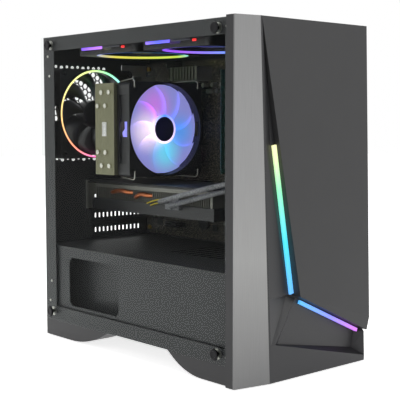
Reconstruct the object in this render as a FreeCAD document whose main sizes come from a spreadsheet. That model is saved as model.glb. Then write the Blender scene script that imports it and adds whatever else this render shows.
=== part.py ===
import FreeCAD, Part
import math
import os
import Sketcher
from FreeCAD import Placement, Rotation, Vector

# A small micro-ATX desktop tower. Millimetres, +Z up, the front faces -Y and the window side faces -X.
# The origin is the middle of the overall box at the level of the desk.

doc = FreeCAD.newDocument("desktop_tower")
sheet = doc.addObject("Spreadsheet::Sheet", "Sizes")
nodes = {}


class Size:
    """A length that knows its number and the expression that gives it from the sheet's cells."""

    def __init__(self, number, text):
        self.number = float(number)
        self.text = text

    def __float__(self):
        return self.number

    def __neg__(self):
        return Size(-self.number, f"(-{self.text})")

    def __add__(self, other):
        other = as_size(other)
        return Size(self.number + other.number, f"({self.text} + {other.text})")

    def __radd__(self, other):
        return as_size(other) + self

    def __sub__(self, other):
        other = as_size(other)
        return Size(self.number - other.number, f"({self.text} - {other.text})")

    def __rsub__(self, other):
        return as_size(other) - self

    def __mul__(self, other):
        other = as_size(other)
        return Size(self.number * other.number, f"({self.text} * {other.text})")

    def __rmul__(self, other):
        return as_size(other) * self

    def __truediv__(self, other):
        other = as_size(other)
        return Size(self.number / other.number, f"({self.text} / {other.text})")


def as_size(value):
    return value if isinstance(value, Size) else Size(value, f"({float(value):.6f})")


def cell(alias, number):
    """Write one driving dimension in the sheet and return it."""
    row = cell.row
    cell.row += 1
    sheet.set(f"A{row}", alias)
    sheet.set(f"B{row}", str(number))
    sheet.setAlias(f"B{row}", alias)
    return Size(number, f"Sizes.{alias}")


cell.row = 1

# ---- Overall ----------------------------------------------------------------------------------
case_width = cell("case_width", 212)
case_depth = cell("case_depth", 394)
case_height = cell("case_height", 400)
gauge = cell("sheet_gauge", 1)
glass_thickness = cell("glass_thickness", 4)
glass_gap = cell("glass_gap", 0.5)
head_side = cell("side_screw_head", 3)
head_rear = cell("rear_screw_head", 4.8)
panel_gap = cell("panel_gap", 0.3)
bezel_depth = cell("bezel_depth", 29.5)
foot_height = cell("foot_height", 23.5)
roof_drop = cell("roof_drop", 1.5)
pad_height = cell("pad_height", 1)
cable_space = cell("cable_space", 23.7)
rail_height = cell("rail_height", 18)
rear_post = cell("rear_post_width", 24)
front_post = cell("front_post_width", 6)
soft_gap = cell("soft_gap", 0.3)

half_width = case_width / 2
half_depth = case_depth / 2
glass_out = head_side - half_width
glass_in = glass_out + glass_thickness
frame_left = glass_in + glass_gap
side_in = half_width - gauge
frame_right = side_in - panel_gap
rear = half_depth - head_rear - gauge - 0.2
rear_in = rear - gauge
tip = -half_depth
frame_front = tip + bezel_depth
front_in = frame_front + gauge
floor = foot_height
floor_in = floor + gauge
roof = case_height - roof_drop
roof_in = roof - gauge
tray = frame_right - cable_space
tray_back = tray + gauge

# ---- Board, cooler, cards ---------------------------------------------------------------------
board_side = cell("board_side", 244)
board_thick = cell("board_thickness", 1.6)
standoff = cell("standoff_height", 6.5)
board_low = cell("board_above_floor", 103.5)
board_gap = cell("board_rear_gap", 2)
slot_pitch = cell("slot_pitch", 20.32)
fan_size = cell("fan_size", 120)
fan_deep = cell("fan_depth", 25)
fan_bore = cell("fan_bore_radius", 58.4)
fan_holes = cell("fan_hole_pitch", 105)
fan_hole = cell("fan_hole_radius", 2.2)
blade_reach = cell("blade_tip_radius", 56.6)
hub_radius = cell("hub_radius", 19)
shaft_radius = cell("shaft_radius", 1.5)
shaft_clear = cell("shaft_clearance", 0.05)
rear_fan_x = cell("rear_fan_inset", 68.5)
rear_fan_z = cell("rear_fan_drop", 100.2)
top_fan_x = cell("top_fan_inset", 75.5)
top_fan_back = cell("top_fan_from_rear", 117)
top_fan_pitch = cell("top_fan_pitch", 132)
cooler_height = cell("cooler_height", 149)
cooler_z = cell("cooler_above_board", 151.3)
cooler_y = cell("cooler_from_rear", 125)
fin_depth = cell("fin_depth", 40)
fin_width = cell("fin_width", 116)
fin_pitch = cell("fin_pitch", 2.6)
fin_count = cell("fin_count", 41)
pipe_radius = cell("heat_pipe_radius", 3)
dimm_y = cell("dimm_from_rear", 199.4)
dimm_length = cell("dimm_length", 133.35)
dimm_height = cell("dimm_height", 31)
card_length = cell("card_length", 266)
card_height = cell("card_height", 98)
card_z = cell("card_above_board", 77.8)
card_thick = cell("card_cooler_depth", 36)
shroud_height = cell("shroud_height", 100)
shroud_inset = cell("shroud_inset", 3.5)
psu_width = cell("psu_width", 150)
psu_high = cell("psu_height", 86)
psu_long = cell("psu_length", 140)
port_radius = cell("button_radius", 5)
button_travel = cell("button_travel", 1.5)
cable_radius = cell("cable_radius", 3)
foot_wide = cell("foot_width", 32)
rear_foot_long = cell("rear_foot_length", 139)
front_foot_long = cell("front_foot_length", 103)

board_back = tray - standoff
board_face = board_back - board_thick
board_rear = rear_in - board_gap
board_front = board_rear - board_side
board_z = floor + board_low
board_top = board_z + board_side
shroud_top = floor + shroud_height
shroud_side = frame_left + shroud_inset
card_plane = board_z + card_z


# ---- Builders ---------------------------------------------------------------------------------
def bind(piece, prop, length):
    piece.setExpression(prop, as_size(length).text)


def place(piece, x, y, z, rotation=None):
    piece.Placement = Placement(Vector(float(x), float(y), float(z)), rotation or Rotation())
    bind(piece, "Placement.Base.x", x)
    bind(piece, "Placement.Base.y", y)
    bind(piece, "Placement.Base.z", z)
    return piece


def box(x, y, z, name="block"):
    """A block between the low and high values of x, y and z."""
    piece = doc.addObject("Part::Box", name)
    for prop, span in (("Length", x), ("Width", y), ("Height", z)):
        bind(piece, prop, as_size(span[1]) - span[0])
    return place(piece, x[0], y[0], z[0])


TURNS = {
    "x": Rotation(Vector(0, 1, 0), 90),
    "y": Rotation(Vector(1, 0, 0), -90),
    "z": Rotation(),
    "-y": Rotation(Vector(1, 0, 0), 90),
    "-z": Rotation(Vector(1, 0, 0), 180),
}


def rod(axis, start, radius, length, name="rod"):
    """A cylinder from start, running along +x, +y or +z."""
    piece = doc.addObject("Part::Cylinder", name)
    bind(piece, "Radius", radius)
    bind(piece, "Height", length)
    return place(piece, *start, TURNS[axis])


def join(pieces, name="joined"):
    if len(pieces) == 1:
        return pieces[0]
    piece = doc.addObject("Part::MultiFuse", name)
    piece.Shapes = pieces
    return piece


def bundle(pieces, name="bundle"):
    """Separate solids kept side by side in one shape."""
    piece = doc.addObject("Part::Compound", name)
    piece.Links = pieces
    return piece


def cut(base, tools, name="cut"):
    piece = doc.addObject("Part::Cut", name)
    piece.Base = base
    piece.Tool = tools[0] if len(tools) == 1 else bundle(tools, name + "_tools")
    return piece


def feature(shape, name="shape"):
    piece = doc.addObject("Part::Feature", name)
    piece.Shape = shape
    return piece


def node(name, piece):
    piece.Label = name
    nodes[name] = piece
    return piece


def body(name, x, y, z, rotation=None):
    """A PartDesign body whose origin stands at x, y, z."""
    piece = doc.addObject("PartDesign::Body", name)
    return place(piece, x, y, z, rotation)


def origin_plane(owner, role):
    return [item for item in owner.Origin.OriginFeatures if item.Role == role][0]


def sketch(owner, role, lift=0):
    drawing = owner.newObject("Sketcher::SketchObject", owner.Name + "_sketch")
    drawing.AttachmentSupport = [(origin_plane(owner, role), "")]
    drawing.MapMode = "FlatFace"
    bind(drawing, "AttachmentOffset.Base.z", lift)
    return drawing


def outline(drawing, corners):
    """A closed polygon whose corners are held from the sketch's origin by bound distances."""
    spots = [Vector(float(u), float(v), 0) for u, v in corners]
    first = drawing.GeometryCount
    count = len(spots)
    for index in range(count):
        drawing.addGeometry(Part.LineSegment(spots[index], spots[(index + 1) % count]))
    for index in range(count):
        after = first + (index + 1) % count
        drawing.addConstraint(Sketcher.Constraint("Coincident", first + index, 2, after, 1))
    for index, (u, v) in enumerate(corners):
        for kind, length in (("DistanceX", u), ("DistanceY", v)):
            if abs(float(length)) < 1e-9:
                on_axis = -2 if kind == "DistanceX" else -1
                drawing.addConstraint(Sketcher.Constraint("PointOnObject", first + index, 1, on_axis))
                continue
            spot = drawing.addConstraint(Sketcher.Constraint(kind, -1, 1, first + index, 1, float(length)))
            drawing.setExpression(f"Constraints[{spot}]", as_size(length).text)


def circle(drawing, u, v, radius):
    """A circle whose centre and radius are bound."""
    index = drawing.addGeometry(Part.Circle(Vector(float(u), float(v), 0), Vector(0, 0, 1), float(radius)))
    held = [(Sketcher.Constraint("Radius", index, float(radius)), radius)]
    for kind, length, on_axis in (("DistanceX", u, -2), ("DistanceY", v, -1)):
        if abs(float(length)) < 1e-9:
            drawing.addConstraint(Sketcher.Constraint("PointOnObject", index, 3, on_axis))
        else:
            held.append((Sketcher.Constraint(kind, -1, 1, index, 3, float(length)), length))
    for rule, length in held:
        spot = drawing.addConstraint(rule)
        drawing.setExpression(f"Constraints[{spot}]", as_size(length).text)


def pad(owner, drawing, length):
    solid = owner.newObject("PartDesign::Pad", owner.Name + "_pad")
    solid.Profile = drawing
    bind(solid, "Length", length)
    owner.Tip = solid
    return solid


def hexagon(u, v, across, lift):
    """A six-sided wire around u, v, its flats the given distance apart, standing in the XZ plane."""
    reach = across / math.sqrt(3)
    corners = [Vector(u + reach * math.cos(math.radians(60 * k)), lift, v + reach * math.sin(math.radians(60 * k)))
               for k in range(6)]
    return Part.makePolygon(corners + corners[:1])


def honeycomb(low, high, pitch):
    """Centres of a six-way lattice inside a rectangle."""
    column = pitch * math.sqrt(3) / 2
    centres = []
    across = int((high[0] - low[0]) / column)
    for k in range(across + 1):
        u = low[0] + k * column
        v = low[1] + (pitch / 2 if k % 2 else 0)
        while v <= high[1]:
            centres.append((u, v))
            v += pitch
    return centres


def tube(points, radius, limits=None):
    """A round bar along straight runs joined by tangent arcs, as large as the runs or the room allow."""
    edges = []
    start = points[0]
    radii = []
    room = limits or [1000] * len(points)
    for before, corner, after, most in zip(points, points[1:], points[2:], room):
        into = (corner - before).normalize()
        out = (after - corner).normalize()
        turn = into.getAngle(out)
        shorter = min((corner - before).Length, (after - corner).Length)
        reach = min(0.45 * shorter, most)
        bend = reach / math.tan(turn / 2)
        radii.append(bend)
        entry = corner - into * reach
        leave = corner + out * reach
        inward = (out - into).normalize()
        middle = corner + inward * (bend / math.cos(turn / 2) - bend)
        edges.append(Part.LineSegment(start, entry).toShape())
        edges.append(Part.Arc(entry, middle, leave).toShape())
        start = leave
    edges.append(Part.LineSegment(start, points[-1]).toShape())
    path = Part.Wire(edges)
    ring = Part.Wire(Part.makeCircle(radius, points[0], points[1] - points[0]))
    solid = path.makePipeShell([ring], True, True)
    expected = math.pi * radius * radius * path.Length
    print(f"tube {path.Length:.1f} mm, least bend {min(radii):.1f}, volume {solid.Volume / expected:.4f} of its section")
    return solid


def vector(x, y, z):
    return Vector(float(x), float(y), float(z))


def corners_of(plane, spread_u, spread_v, centre):
    """The four corners of a rectangle of hole centres, in the named plane."""
    spots = []
    for su in (-1, 1):
        for sv in (-1, 1):
            u = su * spread_u / 2
            v = sv * spread_v / 2
            x, y, z = centre
            shift = {"xz": (x + u, y, z + v), "xy": (x + u, y + v, z)}[plane]
            spots.append(shift)
    return spots


# ---- Steel chassis ----------------------------------------------------------------------------
def bottom_pan():
    plate = box((frame_left, frame_right), (frame_front, rear), (floor, floor_in))
    left = box((frame_left, frame_left + gauge), (front_in, rear_in), (floor, floor + rail_height))
    right = box((frame_right - gauge, frame_right), (front_in, rear_in), (floor, floor + rail_height))
    vents = []
    for index in range(11):
        x = psu_x - 50 + index * 10
        vents.append(box((x - 2.5, x + 2.5), (psu_fan_y - 45, psu_fan_y + 45), (floor - 1, floor_in + 1)))
    shell = cut(join([plate, left, right]), vents + side_screw_holes(floor_screw_z))
    runners = []
    for side in (-1, 1):
        outer = psu_x + side * (filter_wide / 2 + soft_gap + 1.5)
        inner = psu_x + side * (filter_wide / 2 + soft_gap)
        lip = psu_x + side * (filter_wide / 2 - 2)
        reach = (filter_front - soft_gap, filter_front + filter_long)
        wall = sorted((outer, inner), key=float)
        ledge = sorted((outer, lip), key=float)
        runners.append(box(wall, reach, (filter_low - soft_gap - 1, floor)))
        runners.append(box(ledge, reach, (filter_low - soft_gap - 1, filter_low - soft_gap)))
    stop = box((psu_x - filter_wide / 2, psu_x + filter_wide / 2),
               (filter_front - soft_gap - 1.5, filter_front - soft_gap), (filter_low, floor))
    node("bottom_pan", join([shell, stop] + runners))


def side_screw_holes(level):
    return [rod("x", (frame_left - 1, y, level), screw_radius + soft_gap, gauge + 2) for y in screw_spots]


def top_panel():
    plate = box((frame_left, frame_right), (frame_front, rear), (roof_in, roof))
    left = box((frame_left, frame_left + gauge), (front_in, rear_in), (roof - rail_height, roof))
    right = box((frame_right - gauge, frame_right), (front_in, rear_in), (roof - rail_height, roof))
    vents = []
    for centre in top_fan_ys:
        for index in range(9):
            x = top_fan_cx - 44 + index * 11
            half = 50 - abs(index - 4) * 6
            vents.append(box((x - 3, x + 3), (centre - half, centre + half), (roof_in - 1, roof + 1)))
        for x, y, z in corners_of("xy", fan_holes, fan_holes, (top_fan_cx, centre, roof_in - 1)):
            vents.append(rod("z", (x, y, z), fan_hole, gauge + 2))
    node("top_panel", cut(join([plate, left, right]), vents + side_screw_holes(roof_screw_z)))


def rear_panel():
    """The back sheet, with a honeycomb behind its fan and openings for the board, cards and supply."""
    back = float(rear_in)
    low_x, high_x = float(frame_left), float(frame_right)
    low_z, high_z = float(floor_in), float(roof_in)
    frame_wire = Part.makePolygon([Vector(low_x, back, low_z), Vector(high_x, back, low_z),
                                   Vector(high_x, back, high_z), Vector(low_x, back, high_z),
                                   Vector(low_x, back, low_z)])
    holes = []
    fan_x, fan_z = float(rear_fan_cx), float(rear_fan_cz)
    reach = float(fan_size) / 2 - 2
    screws = [(fan_x + s * float(fan_holes) / 2, fan_z + k * float(fan_holes) / 2) for s in (-1, 1) for k in (-1, 1)]
    for u, v in honeycomb((fan_x - reach, fan_z - reach), (fan_x + reach, fan_z + reach), hex_pitch):
        if all(math.hypot(u - a, v - b) > 7 for a, b in screws):
            holes.append(hexagon(u, v, hex_across, back))
    for u, v in screws:
        holes.append(Part.Wire(Part.makeCircle(float(fan_hole), Vector(u, back, v), Vector(0, 1, 0))))
    face = Part.makeFace([frame_wire] + holes, "Part::FaceMakerBullseye")
    sheet_back = feature(face.extrude(Vector(0, float(gauge), 0)), "rear_sheet")
    post = box((frame_left, frame_left + gauge), (rear - rear_post, rear), (floor + rail_height, roof - rail_height))
    through = (rear_in - 1, rear + 1)
    openings = [box(io_x, through, io_z), box(psu_open_x, through, psu_open_z)]
    for index in range(4):
        low, high = slot_span(index)
        openings.append(box((slot_left + 4, slot_right - 4), through, (low + 1, high - 1)))
    for z in rear_screw_zs:
        openings.append(rod("y", (rear_screw_x, rear_in - 1, z), screw_radius, gauge + 2))
    node("rear_panel", cut(join([sheet_back, post]), openings))


def slot_span(index):
    """Low and high edges of the expansion slot, counted down from the graphics card."""
    centre = card_plane - 7 - index * slot_pitch
    return centre - slot_pitch / 2, centre + slot_pitch / 2


def front_frame():
    plate = box((frame_left, frame_right), (frame_front, front_in), (floor_in, roof_in))
    post = box((frame_left, frame_left + gauge), (frame_front, frame_front + front_post),
               (floor + rail_height, roof - rail_height))
    openings = []
    for centre in front_fan_zs:
        openings.append(rod("y", (0, frame_front - 1, centre), fan_bore - 2, gauge + 2))
        for x, y, z in corners_of("xz", fan_holes, fan_holes, (as_size(0), frame_front - 1, centre)):
            openings.append(rod("y", (x, y, z), fan_hole, gauge + 2))
    for centre in hook_zs:
        reach = (frame_front + 2, frame_front + 5)
        openings.append(box((frame_left - 1, frame_left + gauge + 1), reach, (centre - 11, centre + 11)))
    node("front_frame", cut(join([plate, post]), openings))


def motherboard_tray():
    plate = box((tray, tray_back), (front_in, rear_in), (floor_in, roof_in))
    windows = [
        box((tray - 1, tray_back + 1), (cooler_cy - 45, cooler_cy + 55), (cooler_cz - 45, cooler_cz + 45)),
        rod("x", (tray - 1, grommet_y, grommet_z), grommet_radius, gauge + 2),
        rod("x", (tray - 1, grommet_y, grommet_z + 90), grommet_radius, gauge + 2),
        box((tray - 1, tray_back + 1), (frame_front + 30, board_front - 6), (floor_in + 8, shroud_top - 14)),
    ]
    node("motherboard_tray", cut(plate, windows))


def psu_shroud():
    """The cover over the power supply: a roof and a side wall with one chamfered window."""
    roof_plate = box((shroud_side, tray), (front_in, rear_in), (shroud_top - gauge, shroud_top))
    wall = box((shroud_side, shroud_side + gauge), (front_in, rear_in), (floor_in, shroud_top))
    owner = body("shroud_window", shroud_side - 2, window_front, window_low, Rotation(Vector(0, 0, 1), 90))
    drawing = sketch(owner, "XZ_Plane")
    corner = 6
    outline(drawing, [(corner, 0), (window_long - corner, 0), (window_long, corner),
                      (window_long, window_high - corner), (window_long - corner, window_high),
                      (corner, window_high), (0, window_high - corner), (0, corner)])
    pad(owner, drawing, 5)
    vents = [box((shroud_side - 1, shroud_side + gauge + 1), (y - 7, y + 7), (floor_in - 1, floor_screw_z + 7))
             for y in screw_spots]
    for index in range(8):
        y = window_front - 20 - index * 14
        vents.append(box((psu_x - 30, psu_x + 50), (y - 3, y + 3), (shroud_top - gauge - 1, shroud_top + 1)))
    node("psu_shroud", cut(join([roof_plate, wall]), [owner] + vents))


def side_panel():
    plate = box((side_in, half_width), (frame_front, rear + 0.2), (floor, roof))
    fold = box((half_width - 16, half_width), (rear + 0.2, rear + 0.2 + gauge), (floor, roof))
    holes = [rod("y", (rear_screw_x, rear - 1, z), screw_radius, gauge + 3) for z in rear_screw_zs]
    node("side_panel", cut(join([plate, fold]), holes))


def thumbscrew(axis, start, head_radius, head_high, shank_radius, shank_long):
    """A knurled head on a plain shank; start is the head's outer face and the axis points inwards."""
    owner = body("thumbscrew", *start, TURNS[axis])
    drawing = sketch(owner, "XY_Plane")
    circle(drawing, 0, 0, head_radius)
    pad(owner, drawing, head_high)
    stem = sketch(owner, "XY_Plane", head_high - 0.01)
    circle(stem, 0, 0, shank_radius)
    pad(owner, stem, shank_long + 0.01)
    return owner


def side_screws():
    heads = []
    for z in rear_screw_zs:
        start = (rear_screw_x, half_depth, z)
        heads.append(thumbscrew("-y", start, 5.5, head_rear, screw_radius - 0.2, gauge * 2 + 5))
    node("side_panel_thumbscrews", bundle(heads))


def glass_panel():
    """One pane of clear tempered glass with four screw holes."""
    owner = body("glass_pane", glass_out, frame_front, floor, Rotation(Vector(0, 0, 1), 90))
    drawing = sketch(owner, "XZ_Plane")
    long = rear - frame_front
    high = roof - floor
    outline(drawing, [(0, 0), (long, 0), (long, high), (0, high)])
    for y in screw_spots:
        for z in (floor_screw_z, roof_screw_z):
            circle(drawing, y - frame_front, z - floor, screw_radius + 0.1)
    pad(owner, drawing, glass_thickness)
    node("glass_panel", owner)


def glass_screws():
    screws = []
    for y in screw_spots:
        for z in (floor_screw_z, roof_screw_z):
            screws.append(thumbscrew("x", (-half_width, y, z), 6.5, head_side, screw_radius - 0.2,
                                     glass_thickness + glass_gap + gauge + 5))
    node("glass_thumbscrews", bundle(screws))


def glass_posts():
    """Threaded posts riveted behind the window frame, each with a thin rubber ring for the glass."""
    posts = []
    for y in screw_spots:
        for z in (floor_screw_z, roof_screw_z):
            sleeve = rod("x", (frame_left + gauge, y, z), 4.5, 8)
            bore = rod("x", (frame_left, y, z), screw_radius + soft_gap, 12)
            posts.append(cut(sleeve, [bore]))
            ring = rod("x", (glass_in + 0.02, y, z), 6, glass_gap - 0.02)
            hole = rod("x", (glass_in - 1, y, z), screw_radius + soft_gap, 3)
            posts.append(cut(ring, [hole]))
    node("glass_posts", bundle(posts))


# ---- Front -------------------------------------------------------------------------------------
def plate_edge_x(z):
    """The front plate's slanted left edge at height z."""
    share = (z - plate_low_left_z) / (float(case_height) - plate_low_left_z)
    return plate_low_left_x + share * (plate_top_left_x - plate_low_left_x)


def face_at(x, z, depth):
    """A point on the bezel's moulded face; depth is measured back from the foremost tip."""
    return Vector(float(glass_out) + float(x), float(tip) + depth, float(z))


def solid_of(loops):
    shell = Part.makeShell([Part.Face(Part.makePolygon(list(loop) + [loop[0]])) for loop in loops])
    solid = Part.makeSolid(shell)
    if solid.Volume < 0:
        solid.reverse()
    return solid


def front_bezel():
    """A moulded frame whose face is a relief of flat facets: a light channel, a ridge and a low pocket."""
    high = float(case_height)
    wide = float(case_width) - float(head_side)
    low = float(pad_height)
    side, lip, seat = 16.0, 7.0, 13.0
    top_lip = 9.8
    edge = [plate_edge_x(z) for z in (389.0, bar_top_z, bar_low_z)]

    def lip_x(z):
        return lip_low_x + (lip_top_x - lip_low_x) * z / high

    def lip_depth(z):
        return lip + (top_lip - lip) * z / high

    a_low, a_top = face_at(0, low, side), face_at(0, high, side)
    s_low, s_top = face_at(trim_low_x, low, lip), face_at(trim_top_x, high, top_lip)
    l_low, l_top = face_at(lip_low_x, low, lip), face_at(lip_x(high), high, top_lip)
    apex = face_at(lip_x(389), 389, lip_depth(389))
    l_bar, l_end = [face_at(lip_x(z), z, lip_depth(z)) for z in (bar_top_z, bar_low_z)]
    l_base = face_at(lip_x(base_left_z), base_left_z, lip)
    g_apex = face_at(edge[0] + 4, 389, seat)
    g_top = face_at(edge[0] + 4, high, seat)
    f_top = face_at(edge[1] - channel, bar_top_z, seat)
    f_low = face_at(edge[2] - channel, bar_low_z, seat)
    groove = face_at(edge[2] - channel + 0.6, bar_low_z - 2, seat + 4)
    ridge_top = face_at(plate_low_left_x + 4, plate_low_left_z - 3.5, seat)
    ridge_low = face_at(base_left_x, base_left_z, lip)
    wall_low = face_at(base_left_x + 9, base_left_z - 1, seat - 1)
    wall_right = face_at(wide - 9, 16, seat + 7)
    wall_top = face_at(wide - 6, 36, seat + 6)
    facet_top = face_at(wide, 36, 8)
    seat_right = face_at(wide, 41, seat)
    base_right = face_at(wide, base_right_z, lip)
    r_low, r_top = face_at(wide, low, lip), face_at(wide, high, seat)
    back = float(bezel_depth)
    b_ll, b_lr = face_at(0, low, back), face_at(wide, low, back)
    b_tr, b_tl = face_at(wide, high, back), face_at(0, high, back)
    loops = [
        (a_low, s_low, s_top), (a_low, s_top, a_top),
        (s_low, l_low, l_base), (s_low, l_base, s_top), (l_base, l_end, s_top), (l_end, l_bar, s_top),
        (l_bar, apex, s_top), (apex, l_top, s_top),
        (apex, l_bar, f_top), (l_bar, l_end, f_low), (l_bar, f_low, f_top),
        (l_end, groove, f_low), (l_end, l_base, groove), (l_base, ridge_low, groove),
        (groove, ridge_low, ridge_top), (f_low, groove, ridge_top),
        (apex, g_apex, g_top), (apex, g_top, l_top), (apex, f_top, g_apex),
        (g_apex, f_top, f_low, ridge_top, seat_right, r_top, g_top),
        (ridge_top, wall_top, seat_right), (wall_top, facet_top, seat_right),
        (wall_right, base_right, facet_top), (wall_right, facet_top, wall_top),
        (ridge_top, ridge_low, wall_low), (ridge_top, wall_low, wall_right), (ridge_top, wall_right, wall_top),
        (ridge_low, base_right, wall_right), (ridge_low, wall_right, wall_low),
        (l_low, r_low, base_right, ridge_low, l_base),
        (a_low, a_top, b_tl, b_ll),
        (r_low, b_lr, b_tr, r_top, seat_right, facet_top, base_right),
        (a_low, b_ll, b_lr, r_low, l_low, s_low),
        (a_top, s_top, l_top, g_top, r_top, b_tr, b_tl),
        (b_ll, b_tl, b_tr, b_lr),
    ]
    relief = feature(solid_of(loops), "bezel_relief")
    hollow_x = (glass_out + 4, half_width - 4)
    upper = box(hollow_x, (tip + seat + 3, frame_front + 1), (110, case_height - 6))
    lower = box(hollow_x, (tip + seat + 10.5, frame_front + 1), (pad_height + 4, 106))
    tools = [upper, lower, trim_blank("trim_seat"), plate_blank("plate_seat", 0.0, 0.0, 13.0), lower_bar("bar_seat")]
    tools.append(rod("z", (power_x, button_y, case_height - 7), port_radius + soft_gap, 8))
    tools.append(rod("z", (reset_x, button_y, case_height - 7), port_radius / 2 + soft_gap, 8))
    for x in usb_xs:
        tools.append(box((x - 7, x + 7), (button_y - 3.2, button_y + 3.2), (case_height - 7, case_height + 1)))
    for x in jack_xs:
        tools.append(rod("z", (x, button_y, case_height - 7), 3.4, 8))
    node("front_bezel", cut(relief, tools))


def trim_blank(name):
    """The brushed strip on the bezel's left bevel, narrowing upwards."""
    low, high = float(pad_height), float(case_height)
    thick = 2.0
    front_low = [face_at(0, low, 16.0), face_at(trim_low_x, low, 7.0)]
    front_top = [face_at(0, high, 16.0), face_at(trim_top_x, high, 9.8)]
    drop = Vector(0, thick, 0)
    a, b = front_low
    d, c = front_top
    e, f, g, h = [corner + drop for corner in (a, b, c, d)]
    return feature(solid_of([(a, b, c), (a, c, d), (e, g, f), (e, h, g), (a, e, f, b), (b, f, g, c), (c, g, h, d),
                             (d, h, e, a)]), name)


def plate_blank(name, inset, skin, back_depth):
    """The leaning cover's outline, drawn in by inset and set back by skin."""
    wide = float(case_width) - float(head_side) - inset
    high = float(case_height) - inset
    low_left = (plate_low_left_x + inset * 1.3, plate_low_left_z + inset * 0.6)
    low_right = (wide, 38.5 + inset * 1.4)
    fold_right = (wide, 55.0 + inset)
    top_left = (plate_top_left_x + inset * 1.3, high)
    top_right = (wide, high)
    front = [face_at(*low_left, 1.0 + skin), face_at(*low_right, 3.6 + skin), face_at(*fold_right, skin),
             face_at(*top_right, 10.0 + skin), face_at(*top_left, 10.0 + skin)]
    back = [face_at(*spot, back_depth) for spot in (low_left, low_right, fold_right, top_right, top_left)]
    loops = [(front[0], front[1], front[2]), (front[0], front[2], front[3]), (front[0], front[3], front[4]),
             tuple(reversed(back))]
    for k in range(5):
        after = (k + 1) % 5
        loops.append((front[k], front[after], back[after]))
        loops.append((front[k], back[after], back[k]))
    return feature(solid_of(loops), name)


def front_plate():
    """The dark cover, leaning forward towards its foot, hollow behind its lower two thirds."""
    wide = float(case_width) - float(head_side)
    hollow = plate_blank("plate_hollow", 5.0, 3.0, 14.0)
    keep = box((glass_out - 1, glass_out + wide + 4), (tip - 1, tip + 16), (270, case_height + 1))
    lower = cut(hollow, [keep], "plate_room")
    node("front_plate", cut(plate_blank("plate_solid", 0.0, 0.0, 13.0), [lower]))


def light_strip(name, start, end, across, depth_low, depth_high):
    """A diffuser strip between two points of the bezel's face, standing on the channel floor."""
    run = Vector(end[0] - start[0], 0, end[1] - start[1])
    side = Vector(run.z, 0, -run.x).normalize() * (across / 2)
    loops = []
    for spot in (start, end):
        for depth in (depth_low, depth_high):
            middle = face_at(spot[0], spot[1], depth)
            loops.append(middle - side)
            loops.append(middle + side)
    a, b, c, d, e, f, g, h = loops
    return feature(solid_of([(a, b, d, c), (e, g, h, f), (a, e, f, b), (c, d, h, g), (a, c, g, e), (b, f, h, d)]), name)


def lower_bar(name):
    wide = float(case_width) - float(head_side)
    left = (plate_low_left_x + 9.5, plate_low_left_z - 8.5)
    right = (wide - 10, 38.6)
    return light_strip(name, left, right, 4.0, 10.2, 14.0)


def light_bars():
    seat = 13.0
    half = bar_width / 2 + 0.4
    top = (plate_edge_x(bar_top_z - 1) - half, bar_top_z - 1)
    low = (plate_edge_x(bar_low_z + 1) - half, bar_low_z + 1)
    node("upper_light_bar", light_strip("upper_bar", low, top, bar_width, seat - 2.4, seat))
    node("lower_light_bar", lower_bar("lower_bar"))


def buttons():
    for name, x, radius in (("power_button", power_x, port_radius), ("reset_button", reset_x, port_radius / 2)):
        owner = body(name, x, button_y, case_height - 12)
        collar = sketch(owner, "XY_Plane")
        circle(collar, 0, 0, radius + 1)
        pad(owner, collar, 6 - soft_gap)
        cap = sketch(owner, "XY_Plane", 5.5)
        circle(cap, 0, 0, radius)
        pad(owner, cap, 6.3)
        node(name, owner)


def front_ports():
    """The small board behind the bezel's top edge, with its USB shells and audio jacks."""
    board = box((jack_xs[-1] - 8, power_x + 8), (button_y - 5, button_y + 5), (case_height - 26, case_height - 24.4))
    sockets = [board]
    for x in usb_xs:
        shell = box((x - 6.7, x + 6.7), (button_y - 2.9, button_y + 2.9), (case_height - 24.4, case_height - 0.6))
        mouth = box((x - 6.2, x + 6.2), (button_y - 2.4, button_y + 2.4), (case_height - 15, case_height))
        tongue = box((x - 5.4, x + 5.4), (button_y - 2.4, button_y - 0.9), (case_height - 16, case_height - 3))
        sockets.append(join([cut(shell, [mouth]), tongue]))
    for x in jack_xs:
        barrel = rod("z", (x, button_y, case_height - 24.4), 3.1, 23.8)
        bore = rod("z", (x, button_y, case_height - 16), 1.8, 16)
        sockets.append(cut(barrel, [bore]))
    for x in (power_x, reset_x):
        sockets.append(box((x - 2, x + 2), (button_y - 2, button_y + 2), (case_height - 24.4, case_height - 14)))
    node("front_ports", join(sockets))


# ---- Feet and filters -------------------------------------------------------------------------
def foot(x_low, start, long, flat, bend, towards_front):
    """A skid: flat on the desk at its outer end and curving up to the chassis at its inner end."""
    turn = Rotation(Vector(0, 0, 1), -90 if towards_front else 90)
    offset = x_low + foot_wide if towards_front else x_low
    owner = body("foot", offset, start, pad_height, turn)
    drawing = sketch(owner, "XZ_Plane")
    high = floor - pad_height
    outline(drawing, [(0, 0), (flat, 0), (long, high), (0, high)])
    solid = pad(owner, drawing, foot_wide)
    doc.recompute()
    for index, edge in enumerate(solid.Shape.Edges):
        spots = [vertex.Point for vertex in edge.Vertexes]
        if all(abs(spot.z) < 0.01 and abs(spot.x - float(flat)) < 0.01 for spot in spots):
            curve = owner.newObject("PartDesign::Fillet", "foot_curve")
            curve.Base = (solid, [f"Edge{index + 1}"])
            curve.Radius = bend
            owner.Tip = curve
    return owner


def feet():
    parts = []
    for x in (frame_left, frame_right - foot_wide):
        parts.append(foot(x, rear, rear_foot_long, rear_foot_long - 44, 150, True))
        parts.append(foot(x, frame_front, front_foot_long, front_foot_long - 30, 90, False))
    node("feet", bundle(parts))


def foot_pads():
    pads = []
    for x in (frame_left, frame_right - foot_wide):
        span = (x + 6, x + foot_wide - 6)
        pads.append(box(span, (rear - 50, rear - 10), (0, pad_height)))
        pads.append(box(span, (frame_front + 4, frame_front + 36), (0, pad_height)))
    node("foot_pads", bundle(pads))


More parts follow.
